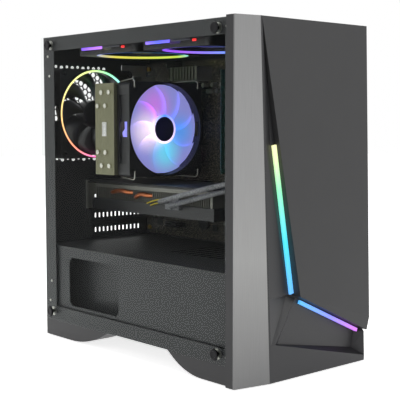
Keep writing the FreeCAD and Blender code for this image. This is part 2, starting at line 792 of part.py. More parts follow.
def framed_filter(name, x, y, z, rim, web):
    """A plastic rim holding a thin sheet of mesh."""
    blank = box(x, y, z)
    well = box((x[0] + rim, x[1] - rim), (y[0] + rim, y[1] - rim), (z[0] + web, z[1] + 1))
    return cut(blank, [well])


def filters():
    top = framed_filter("top_filter", (top_fan_cx - 66, top_fan_cx + 66),
                        (top_fan_ys[1] - 66, top_fan_ys[0] + 66), (roof, roof + 1.2), 8, 0.5)
    node("top_filter", top)
    low = framed_filter("psu_filter", (psu_x - filter_wide / 2, psu_x + filter_wide / 2),
                        (filter_front, filter_front + filter_long), (filter_low, filter_low + 2), 7, 0.5)
    lug = box((psu_x - 14, psu_x + 14), (filter_front + filter_long, filter_front + filter_long + 5),
              (filter_low, filter_low + 2))
    node("psu_filter", join([low, lug]))


# ---- Fans -------------------------------------------------------------------------------------
def blade(count_angle, inner, outer, low, high, sweep):
    """One swept, twisted blade lofted through three tangent sections."""
    sections = []
    for share, pitch in ((0, 48), (0.5, 38), (1, 27)):
        radius = inner + (outer - inner) * share
        chord = (high - low) * (0.95 + 0.45 * share)
        lean = math.radians(pitch)
        turn = count_angle + sweep * share * share
        middle = (low + high) / 2
        corners = []
        for along, thick in ((-0.5, -0.5), (0.5, -0.5), (0.5, 0.5), (-0.5, 0.5)):
            tangent = along * chord * math.cos(lean) - thick * 1.4 * math.sin(lean)
            rise = along * chord * math.sin(lean) * 0.95 + thick * 1.4 * math.cos(lean)
            corners.append(Vector(radius, tangent, middle + rise))
        wire = Part.makePolygon(corners + corners[:1])
        wire.rotate(Vector(), Vector(0, 0, 1), math.degrees(turn))
        sections.append(wire)
    return Part.makeLoft(sections, True, True)


def rotor_shape(reach, hub, low, high, blades, shaft_low):
    """A hub with its blades and the shaft that carries it, turning about Z."""
    core = Part.makeCylinder(hub, high - low, Vector(0, 0, low))
    core = core.makeFillet(1.6, [edge for edge in core.Edges if len(edge.Vertexes) == 1 and
                                 edge.Vertexes[0].Point.z > high - 0.01])
    parts = []
    for k in range(blades):
        raw = blade(2 * math.pi * k / blades, hub - 1, reach + 3, low + 1.5, high - 1.5, 0.42)
        parts.append(raw)
    limit = Part.makeCylinder(reach, high - low - 0.6, Vector(0, 0, low + 0.3))
    trimmed = [raw.common(limit) for raw in parts]
    shaft = Part.makeCylinder(float(shaft_radius), low - shaft_low + 1, Vector(0, 0, shaft_low))
    return core.multiFuse(trimmed + [shaft])


def frame_shape(size, deep, bore, ring_room):
    """A square fan housing with corner bosses, a motor seat on four struts and a step for the ring."""
    half = size / 2
    block = Part.makeBox(size, size, deep, Vector(-half, -half, 0))
    uprights = [edge for edge in block.Edges if abs(edge.Vertexes[0].Point.z - edge.Vertexes[1].Point.z) > 1]
    block = block.makeFillet(7, uprights)
    tools = [Part.makeCylinder(bore, deep + 2, Vector(0, 0, -1))]
    if ring_room:
        tools.append(Part.makeCylinder(bore + 1.2, ring_room, Vector(0, 0, deep - ring_room)))
    pitch = float(fan_holes) / 2
    for su in (-1, 1):
        for sv in (-1, 1):
            tools.append(Part.makeCylinder(float(fan_hole), deep + 2, Vector(su * pitch, sv * pitch, -1)))
    waist = deep - 9
    for turn in (0, 90, 180, 270):
        notch = Part.makeBox(size - 34, 6, waist, Vector(-(size - 34) / 2, half - 2.4, 4.5))
        notch.rotate(Vector(), Vector(0, 0, 1), turn)
        tools.append(notch)
    shell = block.cut(Part.makeCompound(tools))
    hub = float(hub_radius)
    parts = [Part.makeCylinder(hub, 3, Vector(0, 0, 0))]
    for turn in (45, 135, 225, 315):
        strut = Part.makeBox(bore - hub + 4, 4, 3, Vector(hub - 2, -2, 0))
        strut.rotate(Vector(), Vector(0, 0, 1), turn + 8)
        parts.append(strut)
    shell = shell.multiFuse(parts)
    seat = Part.makeCylinder(float(shaft_radius) + float(shaft_clear), 5, Vector(0, 0, -1))
    return shell.cut(seat)


def ring_shape(bore, deep, ring_room):
    """The light ring that sits in the housing's step, flush with its face."""
    outer = Part.makeCylinder(bore + 1.2 - float(soft_gap), ring_room, Vector(0, 0, deep - ring_room))
    return outer.cut(Part.makeCylinder(bore - 1.2, ring_room + 2, Vector(0, 0, deep - ring_room - 1)))


def fan(frame_name, rotor_name, ring_name, centre, rotation, blades, hub):
    """A whole fan; centre is the middle of its back face and local +Z is its open face."""
    size, deep, bore = float(fan_size), float(fan_deep), float(fan_bore)
    room = 3.0 if ring_name else 0
    pieces = [feature(frame_shape(size, deep, bore, room), frame_name),
              feature(rotor_shape(float(blade_reach), hub, 4.0, deep - 1.5, blades, 0.2), rotor_name)]
    if ring_name:
        pieces.append(feature(ring_shape(bore, deep, room), ring_name))
    for piece in pieces:
        place(piece, *centre, rotation)
    return pieces


def fans():
    forward = Rotation(Vector(1, 0, 0), 90)
    downward = Rotation(Vector(1, 0, 0), 180)
    frame, rotor, ring = fan("rear_frame", "rear_rotor", "rear_ring", (rear_fan_cx, rear_in, rear_fan_cz),
                             forward, 9, float(hub_radius))
    node("rear_fan_frame", frame)
    node("rear_fan_rotor", rotor)
    rings = [ring]
    frame, rotor = fan("cpu_frame", "cpu_rotor", None, (cooler_cx, cooler_cy, cooler_cz), forward, 9,
                       float(hub_radius) - 1.5)
    node("cpu_fan_frame", frame)
    node("cpu_fan_rotor", rotor)
    frames = []
    for name, y in zip(("top_rear_rotor", "top_front_rotor"), top_fan_ys):
        frame, rotor, ring = fan("top_frame", name, "top_ring", (top_fan_cx, y, roof_in), downward, 9,
                                 float(hub_radius))
        frames.append(frame)
        rings.append(ring)
        node(name, rotor)
    node("top_fan_frames", bundle(frames))
    node("fan_light_rings", bundle(rings))


# ---- Motherboard ------------------------------------------------------------------------------
def motherboard():
    blank = box((board_face, board_back), (board_front, board_rear), (board_z, board_top))
    node("motherboard", cut(blank, [rod("x", (board_face - 1, y, z), 1.9, board_thick + 2) for y, z in board_spots]))


def standoffs():
    posts = []
    for y, z in board_spots:
        posts.append(rod("x", (board_back, y, z), 3, standoff))
        shank = rod("x", (board_face - 0.1, y, z), 1.5, board_thick + 0.1)
        head = rod("x", (board_face - 2, y, z), 3.2, 2)
        posts.append(join([head, shank]))
    node("standoffs", bundle(posts))


def finned(x, y, z, count, along, depth):
    """A block of metal with straight grooves across its outer side."""
    blank = box(x, y, z)
    span = z if along == "y" else y
    pitch = (span[1] - span[0]) / count
    grooves = []
    for index in range(1, count):
        middle = span[0] + pitch * index
        across = (middle - pitch / 4, middle + pitch / 4)
        spans = (y, across) if along == "y" else (across, z)
        widened = [(pair[0] - 1, pair[1] + 1) if pair is not across else pair for pair in spans]
        grooves.append(box((x[0] - 1, x[0] + depth), *widened))
    return cut(blank, grooves)


def board_heatsinks():
    top = finned((board_face - 28, board_face), (cooler_cy - 20, cooler_cy + 34),
                 (board_top - 28, board_top - 10), 9, "z", 18)
    side = finned((board_face - 26, board_face), (board_rear - 58, board_rear - 36),
                  (board_top - 112, board_top - 40), 10, "y", 16)
    chip = finned((board_face - 9, board_face), (board_front + 34, board_front + 70),
                  (board_z + 24, board_z + 60), 7, "y", 5)
    node("board_heatsinks", bundle([top, side, chip]))


def board_components():
    """Soldered pieces: processor socket, power and drive sockets, coil cans, coin cell and drive."""
    face = board_face
    parts = [
        box((face - 4, face), (socket_y - 22, socket_y + 22), (cooler_cz - 22, cooler_cz + 22)),
        box((face - 13, face), (board_front + 2, board_front + 11), (board_z + 118, board_z + 170)),
        box((face - 13, face), (cooler_cy + 42, cooler_cy + 60), (board_top - 9.6, board_top - 1)),
        box((face - 8, face), (board_front + 1, board_front + 15), (board_z + 40, board_z + 55)),
        box((face - 8, face), (board_front + 1, board_front + 15), (board_z + 58, board_z + 73)),
        box((face - 11, face), (board_front + 20, board_front + 60), (board_z + 2, board_z + 7)),
        box((face - 3.5, face), (board_front + 84, board_front + 164), (board_z + 46, board_z + 68)),
        rod("x", (face - 4, board_front + 116, board_z + 24), 10, 4),
    ]
    for index in range(7):
        z = board_top - 50 - index * 9
        parts.append(box((face - 7, face), (board_rear - 70, board_rear - 62), (z - 3.6, z + 3.6)))
    for index in range(6):
        y = cooler_cy - 8 + index * 9
        parts.append(box((face - 7, face), (y - 3.6, y + 3.6), (board_top - 39, board_top - 31)))
    parts.append(processor())
    node("board_components", bundle(parts))


def memory():
    slots = []
    centres = (dimm_cy, dimm_cy - 10)
    for y in centres:
        block = box((board_face - 8, board_face), (y - 3.5, y + 3.5), (dimm_cz - 70, dimm_cz + 70))
        gap = box((board_face - 9, board_face - 3), (y - 0.9, y + 0.9), (dimm_cz - 67.5, dimm_cz + 67.5))
        latches = [box((board_face - 16, board_face - 8), (y - 3, y + 3), (z - 1.5, z + 1.5))
                   for z in (dimm_cz - 68.9, dimm_cz + 68.9)]
        slots.append(join([cut(block, [gap])] + latches))
    node("dimm_slots", bundle(slots))
    low = dimm_cz - dimm_length / 2
    board = box((board_face - 4 - dimm_height, board_face - 3), (dimm_cy - 0.65, dimm_cy + 0.65),
                (low, low + dimm_length))
    chips = []
    for index in range(8):
        z = low + 12 + index * 15.5
        if index > 3:
            z = z + 1.5
        chips.append(box((board_face - dimm_height + 2, board_face - dimm_height + 13),
                         (dimm_cy - 1.7, dimm_cy - 0.65), (z - 5, z + 5)))
    node("ram_module", join([board] + chips))


def card_sockets():
    sockets = []
    for index, long in ((0, 89), (2, 25), (3, 25)):
        z = card_plane - index * slot_pitch
        start = board_rear - 56 - long
        block = box((board_face - 11, board_face), (start, start + long), (z - 3.7, z + 3.7))
        gap = box((board_face - 12, board_face - 3), (start + 2, start + long - 2), (z - 1.0, z + 1.0))
        sockets.append(cut(block, [gap]))
    node("pcie_slots", bundle(sockets))


def processor():
    lid = box((board_face - 7, board_face - 4), (socket_y - 19, socket_y + 19), (cooler_cz - 19, cooler_cz + 19))
    return lid


def rear_ports():
    """The row of metal-shelled sockets that looks out through the back."""
    face = board_face
    parts = []
    stacks = ((0, 16, 30), (20, 14, 30), (38, 15, 28), (57, 15, 30), (76, 15, 28), (95, 15, 30), (114, 17, 27))
    for start, high, deep in stacks:
        z = io_z[0] + 12 + start
        block = box((face - 2 - deep / 2 - 10, face), (rear - 24, rear - 1.2), (z, z + high))
        mouths = [box((face - deep / 2 - 8 + k * 12, face - deep / 2 + 1.5 + k * 12), (rear - 14, rear),
                      (z + 1.5, z + high - 1.5)) for k in (0, 1)]
        parts.append(cut(block, mouths))
    node("rear_ports", bundle(parts))
    plate = box((io_x[0] + 0.3, io_x[1] - 0.3), (rear_in - 0.8, rear_in), (io_z[0] - 0.5, io_z[1] + 0.5))
    windows = []
    for start, high, deep in stacks:
        z = io_z[0] + 12 + start
        windows.append(box((face - 2.5 - deep / 2 - 10, face + 1), (rear_in - 2, rear + 1), (z - 0.5, z + high + 0.5)))
    node("io_shield", cut(plate, windows))


# ---- Cooler -----------------------------------------------------------------------------------
def fan_screws():
    """Self-cutting screws that hold the rear and roof fans, and the screws of the card and the blank covers."""
    screws = []
    for x, y, z in corners_of("xz", fan_holes, fan_holes, (rear_fan_cx, rear, rear_fan_cz)):
        screws.append(join([rod("y", (x, y, z), 3.6, 1.8), rod("y", (x, y - 8, z), fan_hole - 0.3, 8.2)]))
    for centre in top_fan_ys:
        for x, y, z in corners_of("xy", fan_holes, fan_holes, (top_fan_cx, centre, roof_in)):
            screws.append(join([rod("z", (x, y, z + 0.2), 1.9, 0.6), rod("z", (x, y, z - 8), fan_hole - 0.3, 8.4)]))
    node("fan_screws", bundle(screws))


def cooler():
    fin_low = cooler_left
    fin_back = cooler_cy
    blank = box((fin_low, fin_low + fin_pitch * fin_count - 1.9), (fin_back, fin_back + fin_depth),
                (cooler_cz - fin_width / 2, cooler_cz + fin_width / 2))
    count = int(float(fin_count)) - 1
    gap = float(fin_pitch) - 0.7
    slits = []
    for index in range(count):
        x = float(fin_low) + 0.7 + index * float(fin_pitch)
        slits.append(Part.makeBox(gap, float(fin_depth) + 2, float(fin_width) - 1.4,
                                  Vector(x, float(fin_back) - 1, float(cooler_cz - fin_width / 2) + 0.7)))
    tips = [rod("x", (fin_low - 1, y, cooler_cz + side * spread), pipe_radius + 0.05, fin_pitch * fin_count + 2)
            for y, spread in pipe_rows for side in (-1, 1)]
    node("cooler_fins", cut(blank, [feature(Part.makeCompound(slits), "fin_gaps"), *tips]))
    pipes = []
    radius = float(pipe_radius)
    for y, spread in pipe_rows:
        start = vector(fin_low - 3, y, cooler_cz - spread)
        end = vector(fin_low - 3, y, cooler_cz + spread)
        low = vector(pipe_deep, y, cooler_cz - spread)
        high = vector(pipe_deep, y, cooler_cz + spread)
        pipes.append(feature(u_pipe(start, low, high, end, radius), "heat_pipe"))
    node("cooler_pipes", bundle(pipes))
    grooves = [rod("z", (pipe_deep, y, cooler_cz - 30), pipe_radius + 0.05, 60) for y, spread in pipe_rows]
    block = box((pipe_deep - 5, board_face - 7), (socket_y - 20, socket_y + 20), (cooler_cz - 19, cooler_cz + 19))
    ears = box((pipe_deep + 3, pipe_deep + 5.5), (socket_y - 9, socket_y + 9), (cooler_cz - 42, cooler_cz + 42))
    legs = [rod("x", (pipe_deep + 5.5, socket_y, z), 3, board_face - pipe_deep - 5.5)
            for z in (cooler_cz - 38, cooler_cz + 38)]
    node("cooler_base", cut(join([block, ears] + legs), grooves))


def u_pipe(start, corner_a, corner_b, end, radius):
    """A heat pipe: out of the fins, through the base and back."""
    bend = 11.0
    shift_x = Vector(bend, 0, 0)
    shift_z = Vector(0, 0, bend)
    diagonal = bend * (1 - math.sqrt(0.5))
    edges = [
        Part.LineSegment(start, corner_a - shift_x).toShape(),
        Part.Arc(corner_a - shift_x, corner_a + Vector(-diagonal, 0, diagonal), corner_a + shift_z).toShape(),
        Part.LineSegment(corner_a + shift_z, corner_b - shift_z).toShape(),
        Part.Arc(corner_b - shift_z, corner_b + Vector(-diagonal, 0, -diagonal), corner_b - shift_x).toShape(),
        Part.LineSegment(corner_b - shift_x, end).toShape(),
    ]
    path = Part.Wire(edges)
    ring = Part.Wire(Part.makeCircle(radius, start, Vector(1, 0, 0)))
    return path.makePipeShell([ring], True, True)


def fan_clips():
    """Spring wires that hook the fan's corner holes to the sides of the fin stack."""
    clips = []
    pitch = float(fan_holes) / 2
    x, y, z = float(cooler_cx), float(cooler_cy - fan_deep) - 0.9, float(cooler_cz)
    half = float(fan_size) / 2
    for side in (-1, 1):
        points = [Vector(x - pitch, y, z + side * pitch), Vector(x - pitch, y, z + side * (half + 3.4)),
                  Vector(x - pitch + 6, y + 50, z + side * (half - 0.8)),
                  Vector(x + 22, y + 50, z + side * (half - 0.8)),
                  Vector(x + pitch, y, z + side * (half + 3.4)), Vector(x + pitch, y, z + side * pitch)]
        clips.append(feature(tube(points, 0.8), "clip"))
    node("fan_clips", bundle(clips))


# ---- Graphics card ----------------------------------------------------------------------------
def graphics_card():
    left = card_left
    back = rear_in - 1.2
    board = box((left, board_face - 12), (back - card_length, back - 4), (card_plane - 0.8, card_plane + 0.8))
    tongue = box((board_face - 12, board_face - 4), (board_rear - 142, board_rear - 60),
                 (card_plane - 0.8, card_plane + 0.8))
    node("gpu_board", join([board, tongue]))
    low, high = slot_span(1)[0], slot_span(0)[1]
    plate = box((slot_left, slot_right), (rear_in - 1.0, rear_in), (low + 0.4, high - 0.4))
    flap = box((slot_left, slot_left + 1.0), (rear_in - 5, rear_in - 1.0), (low + 0.4, high - 0.4))
    mouths = [box((x, x + 16), (rear_in - 2, rear_in + 1), (card_plane - 9, card_plane - 3))
              for x in (left + 20, left + 42, left + 64)]
    vents = [box((left + 14 + k * 7, left + 17 + k * 7), (rear_in - 2, rear_in + 1), (low + 5, low + 20))
             for k in range(11)]
    sockets = []
    for x in (left + 20, left + 42, left + 64):
        can = box((x + 0.4, x + 15.6), (rear_in - 16, rear_in - 1), (card_plane - 9.4, card_plane - 0.8))
        mouth = box((x + 1.4, x + 14.6), (rear_in - 12, rear_in), (card_plane - 8.6, card_plane - 3.4))
        sockets.append(cut(can, [mouth]))
    node("gpu_bracket", bundle([join([cut(plate, mouths + vents), flap])] + sockets))
    fins_low = card_plane - card_thick + 15
    block_high = card_plane - 0.8
    fins = finned_card((left + 3, board_face - 22), (back - card_length + 10, back - 20), (fins_low, block_high))
    grooves = [feature(shape, "pipe_way") for shape in card_pipe_shapes(3.1)]
    node("gpu_heatsink", cut(fins, grooves))
    node("gpu_heat_pipes", bundle([feature(shape, "card_pipe") for shape in card_pipe_shapes(3.0)]))
    cover(left, back, fins_low)


def finned_card(x, y, z):
    blank = box(x, y, z)
    count = 58
    pitch = float(y[1] - y[0]) / count
    slits = []
    for index in range(1, count):
        start = float(y[0]) + index * pitch
        slits.append(Part.makeBox(float(x[1] - x[0]) + 2, pitch - 0.8, float(z[1] - z[0]) - 4,
                                  Vector(float(x[0]) - 1, start, float(z[0]) - 1)))
    return cut(blank, [feature(Part.makeCompound(slits), "card_fin_gaps")])


def card_pipe_shapes(radius):
    """Two copper pipes that bulge out of the fins along the card's open edge."""
    shapes = []
    left = float(card_left)
    back = float(rear_in) - 1.2
    z = float(card_plane)
    for start, end, level, drop in ((44, 108, -8, 4), (96, 148, -10, 6)):
        points = [Vector(left + 20, back - start, z + level - drop), Vector(left + 1, back - start - 12, z + level - drop),
                  Vector(left + 0.5, back - (start + end) / 2, z + level), Vector(left + 1, back - end + 12, z + level - 2),
                  Vector(left + 20, back - end, z + level - 2)]
        shapes.append(tube(points, radius))
    return shapes


def cover(left, back, fins_low):
    """The card's plastic cover with two fan wells."""
    low = card_plane - card_thick
    high = fins_low
    shell = box((left, board_face - 16), (back - card_length + 4, back - 14), (low, high))
    tools = []
    struts = []
    for y in card_fan_ys:
        tools.append(rod("z", (card_fan_x, y, low - 1), card_fan_reach + 1.4, high - low + 2))
        hub = rod("z", (card_fan_x, y, high - 2.5), 13, 2.5)
        arms = [box((card_fan_x - card_fan_reach - 3, card_fan_x + card_fan_reach + 3), (y - 2, y + 2),
                    (high - 2.5, high))]
        seat = rod("z", (card_fan_x, y, high - 4), shaft_radius + shaft_clear, 6)
        struts.append(cut(join([hub] + arms), [seat]))
    hollow = cut(shell, tools)
    node("gpu_shroud", join([hollow] + struts))
    plate = box((left + 1, board_face - 14), (back - card_length + 6, back - 6),
                (card_plane + 1.4, card_plane + 2.6))
    pillars = [rod("z", (x, y, card_plane + 0.8), 3, 0.6) for x in (left + 8, board_face - 22)
               for y in (back - card_length + 14, back - 20)]
    node("gpu_backplate", join([plate] + pillars))
    for name, y in zip(("gpu_rear_rotor", "gpu_front_rotor"), card_fan_ys):
        shape = rotor_shape(float(card_fan_reach), 13.0, 3.2, float(high - low) - 1.0, 9, 0.3)
        piece = feature(shape, name)
        place(piece, card_fan_x, y, high, Rotation(Vector(1, 0, 0), 180))
        node(name, piece)


def slot_covers():
    """Blank covers over the two unused slots, each with a row of short vents."""
    covers = []
    for index in (2, 3):
        low, high = slot_span(index)
        plate = box((slot_left, slot_right), (rear_in - 1.0, rear_in), (low + 0.6, high - 0.6))
        flap = box((slot_left, slot_left + 1.0), (rear_in - 12, rear_in - 1.0), (low + 0.6, high - 0.6))
        middle = (low + high) / 2
        vents = [box((slot_left + 14 + k * 6.9, slot_left + 16.8 + k * 6.9), (rear_in - 2, rear_in + 1),
                     (middle - 3.2, middle + 3.2)) for k in range(12)]
        covers.append(join([cut(plate, vents), flap]))
    node("slot_covers", bundle(covers))


# ---- Power supply -----------------------------------------------------------------------------
def power_supply():
    outer = box((psu_low_x, psu_low_x + psu_width), (psu_front, psu_rear), (psu_z, psu_z + psu_high))
    inner = box((psu_low_x + 1, psu_low_x + psu_width - 1), (psu_front + 1, psu_rear - 1),
                (psu_z + 1, psu_z + psu_high - 1))
    tools = [inner, rod("z", (psu_x, psu_fan_y, psu_z - 1), fan_bore - 1.0, 3)]
    tools.append(box(inlet_x, (psu_rear - 2, psu_rear + 1), inlet_z))
    tools.append(box(switch_x, (psu_rear - 2, psu_rear + 1), switch_z))
    shell = cut(outer, tools)
    for_rear = []
    for u, v in honeycomb((float(psu_low_x) + 8, float(psu_z) + 8),
                          (float(inlet_x[0]) - 8, float(psu_z + psu_high) - 8), hex_pitch):
        hole = Part.Face(hexagon(u, v, hex_across - 0.4, float(psu_rear) - 2)).extrude(Vector(0, 3, 0))
        for_rear.append(hole)
    vented = cut(shell, [feature(Part.makeCompound(for_rear), "psu_vents")])
    bar = box((psu_low_x + 1, psu_low_x + psu_width - 1), (psu_fan_y - 5, psu_fan_y + 5), (psu_z + 25, psu_z + 28))
    seat = rod("z", (psu_x, psu_fan_y, psu_z + 24), shaft_radius + shaft_clear, 6)
    node("psu_case", join([vented, cut(bar, [seat])]))
    shape = rotor_shape(float(blade_reach) - 3, float(hub_radius), 1.5, 20.0, 7, -1.0)
    piece = feature(shape, "psu_rotor_shape")
    place(piece, psu_x, psu_fan_y, psu_z + 25, Rotation(Vector(1, 0, 0), 180))
    node("psu_fan_rotor", piece)
    block = box(inlet_x, (psu_rear - 20, psu_rear), inlet_z)
    mouth = box((inlet_x[0] + 2, inlet_x[1] - 2), (psu_rear - 17, psu_rear + 1), (inlet_z[0] + 2, inlet_z[1] - 2))
    pins = [box((x - 1, x + 1), (psu_rear - 18, psu_rear - 6), (z - 2, z + 2))
            for x, z in ((inlet_cx - 7, inlet_cz - 1), (inlet_cx, inlet_cz + 3), (inlet_cx + 7, inlet_cz - 1))]
    inlet = join([cut(block, [mouth])] + pins)
    housing = box(switch_x, (psu_rear - 14, psu_rear), switch_z)
    well = box((switch_x[0] + 1, switch_x[1] - 1), (psu_rear - 12, psu_rear + 1), (switch_z[0] + 1, switch_z[1] - 1))
    pin = rod("x", (switch_x[0] + 0.5, psu_rear - 5, switch_cz), 1, switch_x[1] - switch_x[0] - 1)
    node("power_inlet", bundle([inlet, join([cut(housing, [well]), pin])]))
    rocker()


def rocker():
    """The on-off rocker: a shallow vee on a cross pin."""
    owner = body("rocker_body", switch_x[0] + 1 + soft_gap, psu_rear - 10, switch_cz, Rotation(Vector(0, 0, 1), 0))
    drawing = sketch(owner, "YZ_Plane")
    half = (switch_z[1] - switch_z[0]) / 2 - 2.8
    outline(drawing, [(1.0, -half + 2), (7.0, -half), (8.8, 0), (10.2, half), (1.0, half - 2)])
    circle(drawing, 5, 0, 1 + shaft_clear)
    pad(owner, drawing, switch_x[1] - switch_x[0] - 2 - soft_gap * 2)
    node("psu_switch", owner)


# ---- Cables -----------------------------------------------------------------------------------
def card_cables():
    """Two sleeved power leads: under the cover, up behind the tray, through its ring and back to the card."""
    radius = float(cable_radius)
    behind = float(tray_back)
    hole_y, hole_z = float(grommet_y), float(grommet_z)
    edge, card_y, card_low = float(card_left), float(rear_in - 198), float(card_plane)
    leads = []
    for index, (gap, outlet_x, outlet_z) in enumerate(((10, -23, 40), (16, -11, 28))):
        x = float(psu_x) + outlet_x
        z = float(psu_z) + outlet_z
        y = float(psu_front)
        points = [
            Vector(x, y, z),
            Vector(x, y - 110 - 14 * index, z),
            Vector(behind + gap, y - 150 - 12 * index, z),
            Vector(behind + gap, hole_y + 4.5 - 8 * index, hole_z - 5.5 + 10 * index),
            Vector(edge - 15 - 7 * index, hole_y + 8.5 - 7 * index, card_low + 7 + 9 * index),
            Vector(edge - 15 - 7 * index, card_y + 14 * index, card_low - 20.3 + 4.5 * index),
            Vector(edge - 5, card_y + 14 * index, card_low - 20.3 + 4.5 * index),
        ]
        leads.append(feature(tube(points, radius, [1000, gap - 1.5, gap - 1.5, 1000, 1000]), "lead"))
        leads.append(box((card_left - 5, card_left), (card_y + 14 * index - 6, card_y + 14 * index + 6),
                         (card_plane - 26, card_plane - 11)))
    node("gpu_power_cables", bundle(leads))


def grommet():
    """A rubber ring lining the cable hole in the tray."""
    outer = rod("x", (tray - 1.5, grommet_y, grommet_z), grommet_radius + 2, gauge + 3)
    waist = cut(rod("x", (tray, grommet_y, grommet_z), grommet_radius + 3, gauge),
                [rod("x", (tray - 1, grommet_y, grommet_z), grommet_radius, gauge + 2)])
    bore = rod("x", (tray - 3, grommet_y, grommet_z), grommet_radius - 2, gauge + 6)
    node("cable_grommet", cut(outer, [waist, bore]))


# ---- Places worked out from the sizes ---------------------------------------------------------
screw_radius = cell("screw_radius", 2)
screw_inset = cell("screw_inset", 17)
screw_drop = cell("screw_drop", 10.8)
screw_spots = (frame_front + screw_inset, rear - screw_inset)
floor_screw_z = floor + screw_drop
roof_screw_z = roof - screw_drop
rear_screw_x = half_width - 9
rear_screw_zs = (floor + 60, roof - 60)
hex_pitch = 8.0
hex_across = 6.4

rear_fan_cx = frame_left + rear_fan_x
rear_fan_cz = roof - rear_fan_z
top_fan_cx = frame_left + top_fan_x
top_fan_ys = (rear - top_fan_back, rear - top_fan_back - top_fan_pitch)
front_fan_zs = (floor + 131, floor + 261)
hook_zs = (floor + 58, floor + 187, floor + 317)

cooler_left = board_face - cooler_height
cooler_cx = cooler_left + fan_size / 2 + 5
cooler_cy = rear - cooler_y
cooler_cz = board_z + cooler_z
socket_y = cooler_cy + fin_depth / 2
pipe_deep = board_face - 13
pipe_rows = ((socket_y - 12, 46.5), (socket_y - 4, 29.5), (socket_y + 4, 46.5), (socket_y + 12, 29.5))

dimm_cy = rear - dimm_y
dimm_cz = board_z + 160.4
board_spots = [(y, z) for y in (board_rear - 8, board_front + 8) for z in (board_z + 8, board_z + 88, board_top - 8)]

io_x = (board_face - 43, board_face + 1.45)
io_z = (board_z + 81.5, board_z + 81.5 + 158.75)
slot_left = board_face - 106
slot_right = board_face
card_left = board_face - card_height - 8
card_fan_reach = cell("card_fan_radius", 42)
card_fan_x = card_left + 46
card_fan_ys = (rear_in - 70, rear_in - 186)

psu_low_x = tray - psu_width - 3
psu_x = psu_low_x + psu_width / 2
psu_rear = rear_in
psu_front = psu_rear - psu_long
psu_z = floor_in + 1.5
psu_fan_y = psu_rear - psu_long / 2
psu_open_x = (psu_low_x + 4, psu_low_x + psu_width - 4)
psu_open_z = (psu_z + 4, psu_z + psu_high - 4)
inlet_cx = psu_low_x + psu_width - 26
inlet_cz = psu_z + 60
inlet_x = (inlet_cx - 13.5, inlet_cx + 13.5)
inlet_z = (inlet_cz - 10, inlet_cz + 10)
switch_cz = psu_z + 28
switch_x = (inlet_cx - 7, inlet_cx + 7)
switch_z = (switch_cz - 10, switch_cz + 10)
window_front = rear - 157
window_long = cell("shroud_window_length", 107)
window_high = cell("shroud_window_height", 64)
window_low = floor + 22.5

filter_wide = cell("psu_filter_width", 128)
filter_long = cell("psu_filter_length", 136)
filter_low = floor - 2.6
filter_front = rear - 6 - filter_long

grommet_y = front_in + 36
grommet_z = floor + 206
grommet_radius = cell("grommet_radius", 16)

button_y = frame_front - 7
power_x = half_width - 24
reset_x = half_width - 42
usb_xs = (half_width - 66, half_width - 88)
jack_xs = (half_width - 106, half_width - 120)

trim_low_x, trim_top_x = 45.8, 31.5
lip_low_x, lip_top_x = 48.8, 34.0
plate_low_left_x, plate_low_left_z = 88.0, 93.5
plate_top_left_x = 33.9
bar_top_z, bar_low_z = 263.5, 95.0
bar_width = 5.6
channel = 7.2
base_left_x, base_left_z = 54.0, 43.0
base_right_z = 7.0

for build in (bottom_pan, top_panel, rear_panel, front_frame, motherboard_tray, psu_shroud, side_panel, side_screws,
              glass_panel, glass_screws, glass_posts, front_bezel, front_plate, light_bars, buttons, front_ports,
              feet, foot_pads, filters, fans, motherboard, standoffs, board_heatsinks, board_components, memory,
              card_sockets, rear_ports, fan_screws, cooler, fan_clips, graphics_card, slot_covers, power_supply,
              card_cables, grommet):
    build()
node("silver_trim", trim_blank("trim_solid"))

doc.recompute()
faulty = [item.Label for item in doc.Objects if {"Invalid", "Error"} & set(item.State)]
if faulty:
    raise SystemExit(f"these objects failed: {faulty}")
os.makedirs("parts", exist_ok=True)
for name, piece in nodes.items():
    shape = piece.Shape
    if shape.isNull() or not shape.isValid() or not shape.Solids:
        raise SystemExit(f"{name} has no valid solid")
for name, piece in nodes.items():
    box_of = piece.Shape.BoundBox
    print(f"{name}: {len(piece.Shape.Solids)} solids, {piece.Shape.Volume / 1000:.1f} cm3, "
          f"x {box_of.XMin:.1f} {box_of.XMax:.1f}, y {box_of.YMin:.1f} {box_of.YMax:.1f}, "
          f"z {box_of.ZMin:.1f} {box_of.ZMax:.1f}")
    piece.Shape.exportStep(f"parts/{name}.step")
print(f"{len(nodes)} nodes written")
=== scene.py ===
# %% [markdown]
# A small desktop tower stands on a white studio table. Its frame is already modelled and packed in
# millimetre-true CAD, so this script only dresses it: it loads the frame, gives every CAD node a real
# finish,
# and adds the pieces whose look matters more than their fit, such as fan blades, light rings and knurled
# screws.

